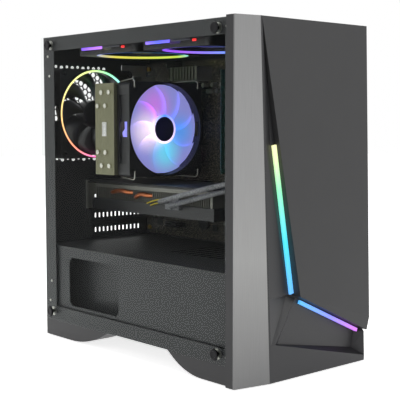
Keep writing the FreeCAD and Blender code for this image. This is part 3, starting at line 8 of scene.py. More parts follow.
# %% Load the frame
import bpy
import math
import numpy as np
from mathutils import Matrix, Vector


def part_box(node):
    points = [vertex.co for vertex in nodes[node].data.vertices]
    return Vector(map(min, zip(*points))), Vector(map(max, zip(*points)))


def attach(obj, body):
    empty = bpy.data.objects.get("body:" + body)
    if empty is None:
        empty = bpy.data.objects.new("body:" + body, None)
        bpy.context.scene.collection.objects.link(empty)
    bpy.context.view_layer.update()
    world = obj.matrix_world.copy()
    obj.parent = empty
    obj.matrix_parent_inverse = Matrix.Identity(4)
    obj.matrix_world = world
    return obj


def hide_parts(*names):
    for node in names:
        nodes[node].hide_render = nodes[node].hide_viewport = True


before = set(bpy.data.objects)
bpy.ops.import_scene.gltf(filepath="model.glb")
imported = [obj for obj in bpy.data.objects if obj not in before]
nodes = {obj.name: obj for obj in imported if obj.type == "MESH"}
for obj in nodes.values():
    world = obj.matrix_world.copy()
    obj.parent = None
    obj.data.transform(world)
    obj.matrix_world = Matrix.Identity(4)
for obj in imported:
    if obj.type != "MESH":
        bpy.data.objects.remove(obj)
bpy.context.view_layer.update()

# %% [markdown]
# The camera stands a little above the middle of the case, far back, with a long lens,
# so the verticals stay almost parallel. Three soft panels light the object, and the backdrop is white to
# the eye.

# %% Camera, floor and light
MM = 0.001
look_turn, look_down = math.radians(41.75), math.radians(4.67)
camera_data = bpy.data.cameras.new("camera")
camera_data.lens, camera_data.sensor_width = 86.7, 36
camera_data.clip_start, camera_data.clip_end = 0.05, 50
camera = bpy.data.objects.new("camera", camera_data)
camera.location = (-0.8045, -0.9124, 0.2883)
camera.rotation_euler = (math.pi / 2 - look_down, 0, -look_turn)
bpy.context.scene.collection.objects.link(camera)
bpy.context.scene.camera = camera
bpy.context.scene.view_settings.view_transform = "Standard"


def soft_panel(name, place, target, width, height, watts):
    """A rectangular studio light at place, facing target."""
    data = bpy.data.lights.new(name, "AREA")
    data.shape, data.size, data.size_y, data.energy = "RECTANGLE", width, height, watts
    lamp = bpy.data.objects.new(name, data)
    lamp.location = place
    aim = np.array(target, float) - np.array(place, float)
    flat = math.hypot(aim[0], aim[1])
    lamp.rotation_euler = (math.atan2(flat, -aim[2]), 0, math.atan2(-aim[0], aim[1]))
    bpy.context.scene.collection.objects.link(lamp)
    return lamp


soft_panel("window_panel", (-1.7, -0.5, 1.1), (0, 0, 0.2), 1.2, 1.2, 6)
soft_panel("front_panel", (0.5, -1.8, 0.9), (0, -0.2, 0.2), 1.2, 1.0, 6.5)
soft_panel("overhead_panel", (0.0, 0.3, 1.8), (0, 0, 0.2), 1.4, 1.4, 9)
soft_panel("back_panel", (0.9, 1.6, 1.0), (0, 0, 0.2), 1.0, 1.0, 8)

# %% [markdown]
# Materials are small node graphs. One helper adds a node with its settings and links; another turns an sRGB
# hex
# colour, the way a paint chart gives it, into the linear numbers the renderer wants.


# %% Helpers for finishes
def linear(code):
    """sRGB hex to linear RGBA: each channel is c/12.92 below 0.04045, and ((c+0.055)/1.055) to the 2.4
    above."""
    channels = [int(code[i:i + 2], 16) / 255 for i in (1, 3, 5)]
    return tuple(c / 12.92 if c <= 0.04045 else ((c + 0.055) / 1.055) ** 2.4 for c in channels) + (1.0,)


def add(tree, kind, inputs=None, stops=(), **settings):
    """Adds a node; an input that is a socket is linked, any other is set; stops are (position, hex) of
    a ramp."""
    made = tree.nodes.new(kind)
    for key, value in settings.items():
        setattr(made, key, value)
    for key, value in (inputs or {}).items():
        if isinstance(value, bpy.types.NodeSocket):
            tree.links.new(value, made.inputs[key])
        else:
            made.inputs[key].default_value = value
    if stops:
        band = made.color_ramp
        while len(band.elements) < len(stops):
            band.elements.new(0.5)
        for element, (spot, code) in zip(band.elements, stops):
            element.position = spot
            element.color = linear(code)
    return made


def finish(name):
    """A new empty node material and its tree, with an output node."""
    material = bpy.data.materials.new(name)
    material.use_nodes = True
    tree = material.node_tree
    tree.nodes.clear()
    return material, tree, add(tree, "ShaderNodeOutputMaterial")


def grainy(name, dark, light, grain_mm, roughness, bump_mm, metallic=0.0, stretch=(1, 1, 1), coat=0.0,
           specular=0.5):
    """A surface whose colour wanders between two tones and whose grain is a bump of a real size."""
    material, tree, out = finish(name)
    where = add(tree, "ShaderNodeTexCoord").outputs["Object"]
    drawn = add(tree, "ShaderNodeMapping", {"Vector": where, "Scale": stretch}).outputs["Vector"]
    broad = add(tree, "ShaderNodeTexNoise", {"Vector": drawn, "Scale": 28.0, "Detail": 3.0}).outputs["Fac"]
    fine = add(tree, "ShaderNodeTexNoise", {"Vector": drawn, "Scale": 1 / (grain_mm * MM),
                                            "Detail": 2.0}).outputs["Fac"]
    both = add(tree, "ShaderNodeMath", {0: broad, 1: fine}, operation="MULTIPLY_ADD")
    both.inputs[1].default_value = 0.6
    tree.links.new(fine, both.inputs[2])
    shade = add(tree, "ShaderNodeMath", {0: both.outputs[0], 1: 0.62}, operation="MULTIPLY").outputs[0]
    colour = add(tree, "ShaderNodeValToRGB", {"Fac": shade}, stops=[(0.25, dark), (0.75,
            light)]).outputs["Color"]
    sheen = add(tree, "ShaderNodeMapRange", {"Value": fine, "To Min": roughness - 0.06,
                                             "To Max": roughness + 0.08})
    relief = add(tree, "ShaderNodeBump", {"Height": fine, "Strength": 0.35, "Distance": bump_mm * MM})
    shader = add(tree, "ShaderNodeBsdfPrincipled", {
        "Base Color": colour, "Roughness": sheen.outputs["Result"], "Normal": relief.outputs["Normal"],
        "Metallic": metallic, "Coat Weight": coat, "Specular IOR Level": specular})
    tree.links.new(shader.outputs[0], out.inputs[0])
    return material


# %% [markdown]
# Most of the case is sheet steel with a fine-textured black powder coat: baked powder leaves an orange-peel
# grain
# about half a millimetre across that scatters highlights. The mouldings are ABS with a slightly finer spark
# texture, and the front cover is a shade lighter so its facets read against the black.

# %% Case finishes
# Baked powder on steel: a soft, grainy black that never mirrors.
powder = grainy("powder_coated_steel", "#1d1e20", "#2c2d2f", 0.5, 0.46, 0.03)
# Moulded ABS: fine spark grain, slightly smoother than powder.
satin_abs = grainy("satin_moulded_abs", "#19191b", "#252527", 0.35, 0.42, 0.02)
# The cover is a shade lighter, so its facets part from the bezel.
cover_abs = grainy("spark_textured_abs", "#2a2a2b", "#343435", 0.45, 0.5, 0.03)
# Glass-filled nylon: deep black with a faint fibre mottle.
fan_plastic = grainy("glass_filled_nylon", "#0e0e10", "#1a1a1d", 0.6, 0.42, 0.03)
# Moulded rubber: matt, and nearly without highlights.
rubber = grainy("moulded_rubber", "#0c0c0d", "#161617", 0.8, 0.75, 0.05)
# Black oxide over steel: dark metal with a small oily shine.
oxide = grainy("black_oxide_screw", "#101012", "#232325", 0.4, 0.34, 0.02, metallic=0.7)
# Zinc plate: pale, slightly yellow metal with soft spangle.
zinc = grainy("zinc_plated_steel", "#9b9b95", "#c9c8c0", 0.7, 0.3, 0.02, metallic=0.9)
# Rolled fin stock with an olive cast, grained along its height.
mill_aluminium = grainy("mill_finish_aluminium", "#77765c", "#8f8d70", 1.2, 0.42, 0.02, metallic=0.45,
                        stretch=(1, 1, 0.2))
# Anodised aluminium: even grey metal with a satin glow.
grey_anodised = grainy("grey_anodised_aluminium", "#6d6c66", "#9b9a92", 0.8, 0.38, 0.03, metallic=0.6)
# Nickel over copper: the brightest metal, with tight highlights.
nickel = grainy("nickel_plated_copper", "#b9b6a8", "#e8e6dc", 1.0, 0.22, 0.01, metallic=0.95)
# Bare copper: warm orange, dulled in patches by handling.
copper = grainy("bare_copper_pipe", "#9c4d2b", "#d98a5c", 1.4, 0.3, 0.02, metallic=0.85)
# Turned brass: yellow metal with crisp edges.
brass = grainy("turned_brass", "#8a6a2c", "#c9a95a", 0.8, 0.32, 0.02, metallic=0.9)
# Connector nylon: plain dark plastic.
socket_plastic = grainy("moulded_connector_plastic", "#0f0f11", "#1d1d20", 0.5, 0.4, 0.02)
# Blades have a thin gloss skin that picks out their curve.
blade_plastic = grainy("dark_satin_blades", "#0c0c0f", "#1b1b20", 0.8, 0.3, 0.02, coat=0.2)
# Braid on a lead: coarse light and dark flecks, no shine.
sleeve = grainy("braided_grey_sleeve", "#4b4c50", "#b9babd", 1.6, 0.7, 0.5)
print("plain finishes:", len(bpy.data.materials))

# %% [markdown]
# The trim on the left bevel is aluminium brushed along its length. Brushing leaves hair-fine grooves, so
# the noise
# is squeezed a hundredfold along the height: each groove is about 0.3 mm wide and centimetres long.

# %% Brushed trim and clear glass
brushed, tree, out = finish("brushed_aluminium_trim")
where = add(tree, "ShaderNodeTexCoord").outputs["Object"]
drawn = add(tree, "ShaderNodeMapping", {"Vector": where, "Scale": (1, 1, 0.01)}).outputs["Vector"]
grooves = add(tree, "ShaderNodeTexNoise", {"Vector": drawn, "Scale": 3200.0, "Detail": 2.0}).outputs["Fac"]
height = add(tree, "ShaderNodeSeparateXYZ", {"Vector": where}).outputs["Z"]
share = add(tree, "ShaderNodeMapRange", {"Value": height, "From Max": 0.4}).outputs["Result"]
# The tone along the height is painted light: a painted highlight brightest about 14 cm up, with painted
# shade darkening it towards the foot and the top.
tone = add(tree, "ShaderNodeValToRGB", {"Fac": share}, stops=[(0.0, "#7d7d7d"), (0.35, "#a4a4a3"), (0.7,
        "#9a9a9a"), (1.0, "#858585")]).outputs["Color"]
marks = add(tree, "ShaderNodeMapRange", {"Value": grooves, "To Min": 0.86,
                                         "To Max": 1.08}).outputs["Result"]
lined = add(tree, "ShaderNodeMix", {"Factor": 1.0, 6: tone, 7: marks}, data_type="RGBA",
            blend_type="MULTIPLY")
relief = add(tree, "ShaderNodeBump", {"Height": grooves, "Strength": 0.25, "Distance": 0.05 * MM})
shader = add(tree, "ShaderNodeBsdfPrincipled", {
    "Base Color": lined.outputs[2], "Normal": relief.outputs["Normal"], "Metallic": 0.45, "Roughness": 0.42,
    "Anisotropic": 0.5})
tree.links.new(shader.outputs[0], out.inputs[0])

glass, tree, out = finish("clear_tempered_glass")
where = add(tree, "ShaderNodeTexCoord").outputs["Object"]
waviness = add(tree, "ShaderNodeTexNoise", {"Vector": where, "Scale": 6.0}).outputs["Fac"]
polish = add(tree, "ShaderNodeMapRange", {"Value": waviness, "To Min": 0.01,
                                          "To Max": 0.03}).outputs["Result"]
clear = add(tree, "ShaderNodeBsdfTransparent", {"Color": (0.97, 0.98, 0.975, 1)})
shine = add(tree, "ShaderNodeBsdfGlossy", {"Color": (0.8, 0.82, 0.82, 1), "Roughness": polish})
edge_on = add(tree, "ShaderNodeFresnel", {"IOR": 1.12}).outputs[0]
outer_face = add(tree, "ShaderNodeMath", {0: 1.0, 1: add(tree,
                                                         "ShaderNodeNewGeometry").outputs["Backfacing"]},
                 operation="SUBTRACT").outputs[0]
veil = add(tree, "ShaderNodeMath", {0: edge_on, 1: outer_face}, operation="MULTIPLY").outputs[0]
pane = add(tree, "ShaderNodeMixShader", {0: veil, 1: clear.outputs[0], 2: shine.outputs[0]})
tree.links.new(pane.outputs[0], out.inputs[0])
print("trim and glass made")

# %% [markdown]
# Circuit boards are glass-epoxy laminate under a glossy solder mask. Copper traces under the mask show as
# slightly
# raised, slightly lighter lines, and bare pads as tin-bright dots. A Voronoi edge pattern at trace pitch
# stands in
# for the routing, and a second one scatters the pads.


# %% Circuit boards
def laminate(name, mask, trace, pads, pitch_mm):
    """Solder mask with trace lines at the cell edges of one Voronoi pattern and pads at the points of
    another."""
    material, tree, out = finish(name)
    where = add(tree, "ShaderNodeTexCoord").outputs["Object"]
    lines = add(tree, "ShaderNodeTexVoronoi", {"Vector": where, "Scale": 1 / (pitch_mm * MM),
                                               "Randomness": 0.8},
                feature="DISTANCE_TO_EDGE").outputs["Distance"]
    dots = add(tree, "ShaderNodeTexVoronoi", {"Vector": where, "Scale": 1 / (2.4 * MM)}).outputs["Distance"]
    traced = add(tree, "ShaderNodeValToRGB", {"Fac": lines}, stops=[(0.03, trace), (0.09,
            mask)]).outputs["Color"]
    dotted = add(tree, "ShaderNodeMath", {0: dots, 1: 0.16}, operation="LESS_THAN").outputs[0]
    colour = add(tree, "ShaderNodeMix", {"Factor": dotted, 6: traced, 7: linear(pads)},
                 data_type="RGBA").outputs[2]
    relief = add(tree, "ShaderNodeBump", {"Height": lines, "Strength": 0.3, "Distance": 0.1 * MM})
    shader = add(tree, "ShaderNodeBsdfPrincipled", {
        "Base Color": colour, "Metallic": dotted, "Normal": relief.outputs["Normal"], "Roughness": 0.35,
        "Coat Weight": 0.3})
    tree.links.new(shader.outputs[0], out.inputs[0])
    return material


board_mask = laminate("black_solder_mask", "#1b1b19", "#6b6656", "#cfc7ae", 3.2)
card_mask = laminate("dark_card_mask", "#101214", "#34342e", "#a39a80", 3.0)
memory_mask = laminate("green_solder_mask", "#15301f", "#2f6a63", "#7f9a86", 2.2)
print("boards made")

# %% [markdown]
# The light guides are frosted acrylic lit from inside by small diodes whose colours drift around the ring,
# so each
# guide is an emitter whose colour follows its own length or its angle round the fan's centre.


# %% Lit acrylic
def lit_along(name, axis, low, high, stops, strength):
    """Emission whose colour runs along one axis of the object between two places in metres."""
    material, tree, out = finish(name)
    where = add(tree, "ShaderNodeTexCoord").outputs["Object"]
    parts = add(tree, "ShaderNodeSeparateXYZ", {"Vector": where}).outputs[axis]
    share = add(tree, "ShaderNodeMapRange", {"Value": parts, "From Min": low,
                                             "From Max": high}).outputs["Result"]
    colour = add(tree, "ShaderNodeValToRGB", {"Fac": share}, stops=stops).outputs["Color"]
    shader = add(tree, "ShaderNodeBsdfPrincipled", {
        "Base Color": colour, "Emission Color": colour, "Emission Strength": strength, "Roughness": 0.35})
    tree.links.new(shader.outputs[0], out.inputs[0])
    return material


def lit_round(name, centre, turn, stops, strength):
    """Emission whose colour follows the angle round a centre; turn is the Mapping rotation that lays
    the ring flat."""
    material, tree, out = finish(name)
    where = add(tree, "ShaderNodeTexCoord").outputs["Object"]
    level = add(tree, "ShaderNodeVectorMath", {0: where, 1: centre}, operation="SUBTRACT").outputs[0]
    laid = add(tree, "ShaderNodeMapping", {"Vector": level, "Rotation": turn}).outputs["Vector"]
    angle = add(tree, "ShaderNodeTexGradient", {"Vector": laid}, gradient_type="RADIAL").outputs["Fac"]
    colour = add(tree, "ShaderNodeValToRGB", {"Fac": angle}, stops=stops).outputs["Color"]
    shader = add(tree, "ShaderNodeBsdfPrincipled", {
        "Base Color": colour, "Emission Color": colour, "Emission Strength": strength, "Roughness": 0.35})
    tree.links.new(shader.outputs[0], out.inputs[0])
    return material


upper_light = lit_along("lit_acrylic_upper", "Z", 0.095, 0.2635,
                        [(0.0, "#66aef2"), (0.35, "#4cd2ee"), (0.7, "#8deab4"), (1.0, "#f1efb0")], 1.0)
lower_light = lit_along("lit_acrylic_lower", "X", -0.006, 0.097,
                        [(0.0, "#55b0f4"), (0.5, "#7f86f2"), (1.0, "#c86ee6")], 1.0)
print("bars lit")

# %% [markdown]
# Every CAD node gets its finish now. The node keeps its mesh; only its material slots are filled.

# %% Dress the CAD nodes
finishes = {
    powder: ("bottom_pan", "top_panel", "rear_panel", "front_frame", "motherboard_tray", "psu_shroud",
             "side_panel",
             "slot_covers", "psu_case", "gpu_backplate"),
    satin_abs: ("front_bezel", "feet", "power_button", "reset_button", "psu_switch", "psu_filter",
                "top_filter"),
    cover_abs: ("front_plate",),
    fan_plastic: ("rear_fan_frame", "top_fan_frames", "cpu_fan_frame", "gpu_shroud"),
    rubber: ("foot_pads", "cable_grommet"),
    oxide: ("fan_screws", "side_panel_thumbscrews", "glass_thumbscrews"),
    zinc: ("glass_posts", "front_ports", "io_shield", "gpu_bracket", "fan_clips", "rear_ports"),
    mill_aluminium: ("cooler_fins",),
    grey_anodised: ("board_heatsinks", "gpu_heatsink", "cooler_base"),
    nickel: ("cooler_pipes",),
    copper: ("gpu_heat_pipes",),
    brass: ("standoffs",),
    socket_plastic: ("board_components", "dimm_slots", "pcie_slots", "power_inlet"),
    blade_plastic: ("rear_fan_rotor", "top_rear_rotor", "top_front_rotor", "gpu_rear_rotor",
                    "gpu_front_rotor",
                    "psu_fan_rotor", "cpu_fan_rotor", "fan_light_rings"),
    sleeve: ("gpu_power_cables",),
    board_mask: ("motherboard",), card_mask: ("gpu_board",), memory_mask: ("ram_module",),
    brushed: ("silver_trim",), glass: ("glass_panel",),
    upper_light: ("upper_light_bar",), lower_light: ("lower_light_bar",),
}
dressed = 0
for material, names in finishes.items():
    for name in names:
        slots = nodes[name].data.materials
        slots.clear()
        slots.append(material)
        dressed += 1
print("dressed", dressed, "of", len(nodes), "nodes; bare:",
      [n for n in nodes if not nodes[n].data.materials])

# %% [markdown]
# New pieces are grids of points worked out as whole arrays. A grid is a stack of closed rings; joining each
# ring to
# the next gives the skin, and a fan of triangles closes each end.


# %% Surfaces from rings of points
def skin(rings):
    """Faces for an (n, m, 3) stack of closed rings: quads between neighbours, triangle fans on both ends."""
    n, m, _ = rings.shape
    i, j = np.meshgrid(np.arange(n - 1), np.arange(m), indexing="ij")
    k = (j + 1) % m
    quads = np.stack([i * m + j, i * m + k, (i + 1) * m + k, (i + 1) * m + j], -1).reshape(-1, 4)
    first, last = n * m, n * m + 1
    a = np.arange(m)
    b = (a + 1) % m
    bottom = np.stack([b, a, np.full(m, first)], -1)
    top = np.stack([(n - 1) * m + a, (n - 1) * m + b, np.full(m, last)], -1)
    points = np.vstack([rings.reshape(-1, 3), rings[0].mean(0), rings[-1].mean(0)])
    return points, [quads, np.vstack([bottom, top])]


def piece(name, shells, material, body, smooth=True, *replaced):
    """One object from many skins; its faces are turned outwards by the sign of each skin's own volume."""
    points, faces, start = [], [], 0
    for cloud, (quads, fans) in shells:
        a, b, c = cloud[fans[:, 0]], cloud[fans[:, 1]], cloud[fans[:, 2]]
        volume = np.einsum("ij,ij->", a, np.cross(b, c))
        p, q, r, s = (cloud[quads[:, k]] for k in range(4))
        volume += np.einsum("ij,ij->", p, np.cross(q, r)) + np.einsum("ij,ij->", p, np.cross(r, s))
        flip = slice(None, None, -1) if volume < 0 else slice(None)
        points.append(cloud)
        faces += (quads[:, flip] + start).tolist() + (fans[:, flip] + start).tolist()
        start += len(cloud)
    mesh = bpy.data.meshes.new(name)
    mesh.from_pydata(np.vstack(points).tolist(), [], faces)
    mesh.materials.append(material)
    mesh.update()
    if smooth:
        mesh.shade_smooth()
        mesh.set_sharp_from_angle(angle=math.radians(40))
    made = bpy.data.objects.new(name, mesh)
    bpy.context.scene.collection.objects.link(made)
    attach(made, body)
    if replaced:
        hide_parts(*replaced)
    print(name, len(mesh.polygons), "faces")
    return made


def turned(profile, steps, wave=0.0, teeth=0):
    """Rings of a turned shape: each (radius, height) of the profile swept round Z, the radius wavy if
    teeth is set."""
    angle = np.linspace(0, 2 * np.pi, steps, endpoint=False)
    radius, height = np.array(profile, float).T
    ripple = 1 + wave * np.cos(teeth * angle)[None, :] * (radius > radius.max() * 0.93)[:, None]
    r = radius[:, None] * ripple
    return np.stack([r * np.cos(angle), r * np.sin(angle), np.broadcast_to(height[:, None], r.shape)], -1)


def rounded_block(low, high, radius, axis=2, per_corner=3):
    """Rings of a block with rounded edges: a rounded rectangle carried along one axis and drawn in at
    both ends."""
    low, high = np.array(low, float), np.array(high, float)
    u, v = [k for k in range(3) if k != axis]
    turn = np.linspace(0, np.pi / 2, per_corner)
    quarter = np.concatenate([turn + k * np.pi / 2 for k in range(4)])
    centre, half = (low + high) / 2, (high - low) / 2
    radius = min(radius, half[u] * 0.9, half[v] * 0.9, half[axis] * 0.9)
    sign_u = np.sign(np.cos(np.repeat(np.arange(4) * np.pi / 2 + np.pi / 4, per_corner)))
    sign_v = np.sign(np.sin(np.repeat(np.arange(4) * np.pi / 2 + np.pi / 4, per_corner)))
    rings = []
    for lean, side in ((0, -1), (45, -1), (90, -1), (90, 1), (45, 1), (0, 1)):
        grow = radius * (math.sin(math.radians(lean)) - 1)
        ring = np.zeros((4 * per_corner, 3))
        ring[:, u] = centre[u] + sign_u * (half[u] - radius) + (radius + grow) * np.cos(quarter)
        ring[:, v] = centre[v] + sign_v * (half[v] - radius) + (radius + grow) * np.sin(quarter)
        ring[:, axis] = centre[axis] + side * (half[axis] - radius * (1 - math.cos(math.radians(lean))))
        rings.append(ring)
    return skin(np.array(rings))


def middle(name):
    """The centre of a CAD node's box."""
    low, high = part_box(name)
    return (np.array(low) + np.array(high)) / 2


# %% [markdown]
# A fan blade is a thin curved wing. Along its span it sweeps forwards round the hub, and across its chord
# it climbs
# from the leading to the trailing edge, with a little camber. Its section is a flat oval, carried from hub
# to tip.


# %% Fan rotors
def wing(start, inner, outer, low, high, reach, sweep, thick):
    """Angle = start + sweep x span^2 + chord x reach; height climbs with the chord and bows by a sine."""
    span = np.linspace(0, 1, 12)[:, None]
    loop = np.linspace(0, 2 * np.pi, 20, endpoint=False)[None, :]
    chord = 0.5 - 0.5 * np.cos(loop)
    radius = inner + (outer - inner) * span + 0 * chord
    angle = start + sweep * span ** 2 + (chord - 0.5) * reach * (0.92 + 0.08 * span)
    climb = (high - low) * (0.92 - 0.3 * span)
    bow = 0.10 * (high - low) * np.sin(np.pi * chord)
    height = (low + high) / 2 + (chord - 0.5) * climb + bow + 0.5 * thick * np.sin(loop)
    return skin(np.stack([radius * np.cos(angle), radius * np.sin(angle), height], -1))


def rotor(name, node, blades, hub, outer, deep, cover, sweep, material, body, way):
    """Blades and hub made flat at the origin, then turned to face the way the fan blows and set on its
    centre."""
    low, high = -deep / 2, deep / 2
    shells = [wing(2 * np.pi * k / blades, hub - 0.0008, outer, low + 0.001, high - 0.0015,
                   cover * 2 * np.pi / blades,
                   sweep, 0.0016) for k in range(blades)]
    shells.append(skin(turned([(hub - 0.0025, low), (hub, low + 0.001), (hub, high - 0.003), (hub - 0.0008,
            high - 0.001),
                               (hub - 0.0025, high - 0.0003), (hub - 0.006, high), (0.004, high)], 64)))
    centre = middle(node)
    ways = {"forward": lambda p: np.stack([p[:, 0], -p[:, 2], p[:, 1]], -1),
            "down": lambda p: np.stack([p[:, 0], -p[:, 1], -p[:, 2]], -1)}
    set_down = [(ways[way](cloud) + centre, faces) for cloud, faces in shells]
    return piece(name, set_down, material, body, True, node)


FAN_REACH = 0.0563
rotor("rear_fan_blades", "rear_fan_rotor", 9, 0.019, FAN_REACH, 0.018, 0.86, 0.5, blade_plastic, "rear_fan",
      "forward")
rotor("top_rear_fan_blades", "top_rear_rotor", 9, 0.019, FAN_REACH, 0.018, 0.86, 0.5, blade_plastic,
      "top_rear_fan", "down")
rotor("top_front_fan_blades", "top_front_rotor", 9, 0.019, FAN_REACH, 0.018, 0.86, 0.5, blade_plastic,
      "top_front_fan",
      "down")
rotor("gpu_rear_fan_blades", "gpu_rear_rotor", 11, 0.013, 0.0415, 0.0098, 0.8, 0.35, blade_plastic,
      "gpu_rear_fan", "down")
rotor("gpu_front_fan_blades", "gpu_front_rotor", 11, 0.013, 0.0415, 0.0098, 0.8, 0.35, blade_plastic,
      "gpu_front_fan",
      "down")
rotor("psu_fan_blades", "psu_fan_rotor", 7, 0.019, 0.0525, 0.0155, 0.8, 0.4, blade_plastic, "psu_fan",
      "down")

# %% [markdown]
# The cooler's fan is moulded in frosted polycarbonate with diodes in its hub, so light pools round the hub
# and thins
# towards the tips. The glow is an emission colour that follows the angle, mixed with white near the lit
# side.

# %% The glowing cooler fan
hub_at = middle("cpu_fan_rotor")
frosted, tree, out = finish("frosted_polycarbonate_blades")
where = add(tree, "ShaderNodeTexCoord").outputs["Object"]
off = add(tree, "ShaderNodeVectorMath", {0: where, 1: tuple(hub_at)}, operation="SUBTRACT").outputs[0]
flat = add(tree, "ShaderNodeVectorMath", {0: off, 1: (1, 0, 1)}, operation="MULTIPLY").outputs[0]


def pool(spot, radius):
    """1 at a spot (x, z in metres from the hub), falling smoothly to 0 at the radius."""
    reach = add(tree, "ShaderNodeVectorMath", {0: flat, 1: (spot[0], 0, spot[1])}, operation="DISTANCE")
    return add(tree, "ShaderNodeMapRange", {"Value": reach.outputs["Value"], "From Min": 0.0,
                                            "From Max": radius,
               "To Min": 1.0, "To Max": 0.0}, interpolation_type="SMOOTHSTEP").outputs["Result"]


mist = linear("#8f8fd6")
layers = [(pool((-0.012, 0.030), 0.036), "#c77fe6"), (pool((0.030, -0.004), 0.034), "#5f9cf0"),
          (pool((0.006, -0.030), 0.034), "#6fd6f4"), (pool((-0.024, -0.002), 0.036), "#ffe9ff")]
glow = mist
for amount, code in layers:
    glow = add(tree, "ShaderNodeMix", {"Factor": amount, 6: glow, 7: linear(code)},
               data_type="RGBA").outputs[2]
shader = add(tree, "ShaderNodeBsdfPrincipled", {
    "Base Color": glow, "Emission Color": glow, "Emission Strength": 0.8, "Roughness": 0.45})
tree.links.new(shader.outputs[0], out.inputs[0])
rotor("cpu_fan_blades", "cpu_fan_rotor", 9, 0.0175, 0.0570, 0.018, 1.95, 0.4, frosted, "cpu_fan", "forward")

# A hub cap in deep navy, almost black.
hub_dark = grainy("navy_hub_cap", "#0c0b3a", "#1b1a52", 0.8, 0.35, 0.02)
rim_light = lit_round("lit_hub_rim", tuple(hub_at), (-math.pi / 2, 0, 0),
                      [(0.0, "#f7e3ff"), (0.3, "#ffe6ff"), (0.5, "#d6c2ff"), (0.75, "#4f8cff"), (1.0,
                              "#f7e3ff")], 1.2)


def facing(cloud, at):
    """Turns a shape made along +Z to face -Y and sets it at a place."""
    return np.stack([cloud[:, 0], -cloud[:, 2], cloud[:, 1]], -1) + at


def disc(profile, at, steps=64):
    cloud, faces = skin(turned(profile, steps))
    return facing(cloud, np.array(at)), faces


front_of_hub = hub_at + np.array([0, -0.0090, 0])
piece("cpu_fan_hub_cap", [disc([(0.001, 0.0), (0.0155, 0.0), (0.0158, 0.0004), (0.0150, 0.0009), (0.001,
        0.0009)],
                               front_of_hub)], hub_dark, "cpu_fan")
piece("cpu_fan_hub_rim", [disc([(0.0150, -0.0006), (0.0186, -0.0006), (0.0188, 0.0002), (0.0178, 0.0006),
                                (0.0160, 0.0006), (0.0158, 0.0)], front_of_hub)], rim_light, "cpu_fan")

# %% [markdown]
# A light ring is a narrow band of acrylic let into the open face of a fan's housing. Its section is a
# rounded
# rectangle carried round a circle, so the array of rings closes on itself.


# %% Light rings
def hoop(inner, outer, low, high, steps=160):
    """A rounded-rectangle section turned about Z: the section's loop runs first, the circle second."""
    turn = np.linspace(0, 2 * np.pi, 12, endpoint=False)
    mid_r, half_r = (inner + outer) / 2, (outer - inner) / 2
    mid_z, half_z = (low + high) / 2, (high - low) / 2
    power = 0.4
    r = mid_r + half_r * np.sign(np.cos(turn)) * np.abs(np.cos(turn)) ** power
    z = mid_z + half_z * np.sign(np.sin(turn)) * np.abs(np.sin(turn)) ** power
    angle = np.linspace(0, 2 * np.pi, steps, endpoint=False)
    grid = np.stack([r[None, :] * np.cos(angle)[:, None], r[None, :] * np.sin(angle)[:, None],
                     np.broadcast_to(z[None, :], (steps, 12))], -1)
    i, j = np.meshgrid(np.arange(steps), np.arange(12), indexing="ij")
    i2, j2 = (i + 1) % steps, (j + 1) % 12
    quads = np.stack([i * 12 + j, i * 12 + j2, i2 * 12 + j2, i2 * 12 + j], -1).reshape(-1, 4)
    return grid.reshape(-1, 3), [quads, np.zeros((0, 3), int)]


rear_hub = middle("rear_fan_rotor")
rear_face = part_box("rear_fan_frame")[0][1]
rear_stops = [(0.0, "#ffd98a"), (0.13, "#ff9a78"), (0.25, "#ff6fc0"), (0.4, "#f28cf2"), (0.6, "#a4e4ff"),
              (0.7, "#9dffb8"),
              (0.78, "#e2f59a"), (0.9, "#fbef9a"), (1.0, "#ffd98a")]
rear_glow = lit_round("lit_acrylic_rear_ring", (rear_hub[0], 0, rear_hub[2]), (-math.pi / 2, 0, 0),
                      rear_stops, 1.4)
cloud, faces = hoop(0.0569, 0.0592, 0.0, 0.0028)
ring_at = np.array([rear_hub[0], rear_face + 0.0028, rear_hub[2]])
piece("rear_fan_light_ring", [(facing(cloud, ring_at), faces)], rear_glow, "chassis", True,
      "fan_light_rings")

top_hubs = [middle("top_rear_rotor"), middle("top_front_rotor")]
top_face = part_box("top_fan_frames")[0][2]
for name, hub, stops in (("top_rear", top_hubs[0], [(0.0, "#3f6cff"), (0.3, "#3fd0ff"), (0.5, "#c8e650"),
                                                    (0.75, "#f0e05a"),
                                                    (1.0, "#3f6cff")]),
                         ("top_front", top_hubs[1], [(0.0, "#6f4cff"), (0.3, "#3f8cff"), (0.5, "#4fb0ff"),
                                                     (0.75, "#b060ff"),
                                                     (1.0, "#6f4cff")])):
    glow = lit_round(f"lit_acrylic_{name}_ring", (hub[0], hub[1], 0), (0, 0, 0), stops, 1.0)
    cloud, faces = hoop(0.0569, 0.0592, 0.0, 0.0028)
    piece(f"{name}_fan_light_ring", [(cloud + np.array([hub[0], hub[1], top_face]), faces)], glow,
          "chassis")

# %% [markdown]
# The roof fans also carry light bars on their housings' window side: a purple bar with round ends, a grey
# strip
# where the housing is unlit, and a tiny red diode by the connector.

# %% Roof fan side lights
side_bar_light = lit_along("lit_acrylic_side_bar", "Y", -0.12, 0.14,
                   [(0.0, "#b36bff"), (0.35, "#5f6cff"), (0.55, "#d48bff"), (0.8, "#c27bff"), (1.0,
                           "#5a4cf0")], 1.1)
diode_light = lit_along("red_indicator_diode", "Y", -0.12, 0.14, [(0.0, "#ff3a3a"), (1.0, "#ff3030")], 1.0)
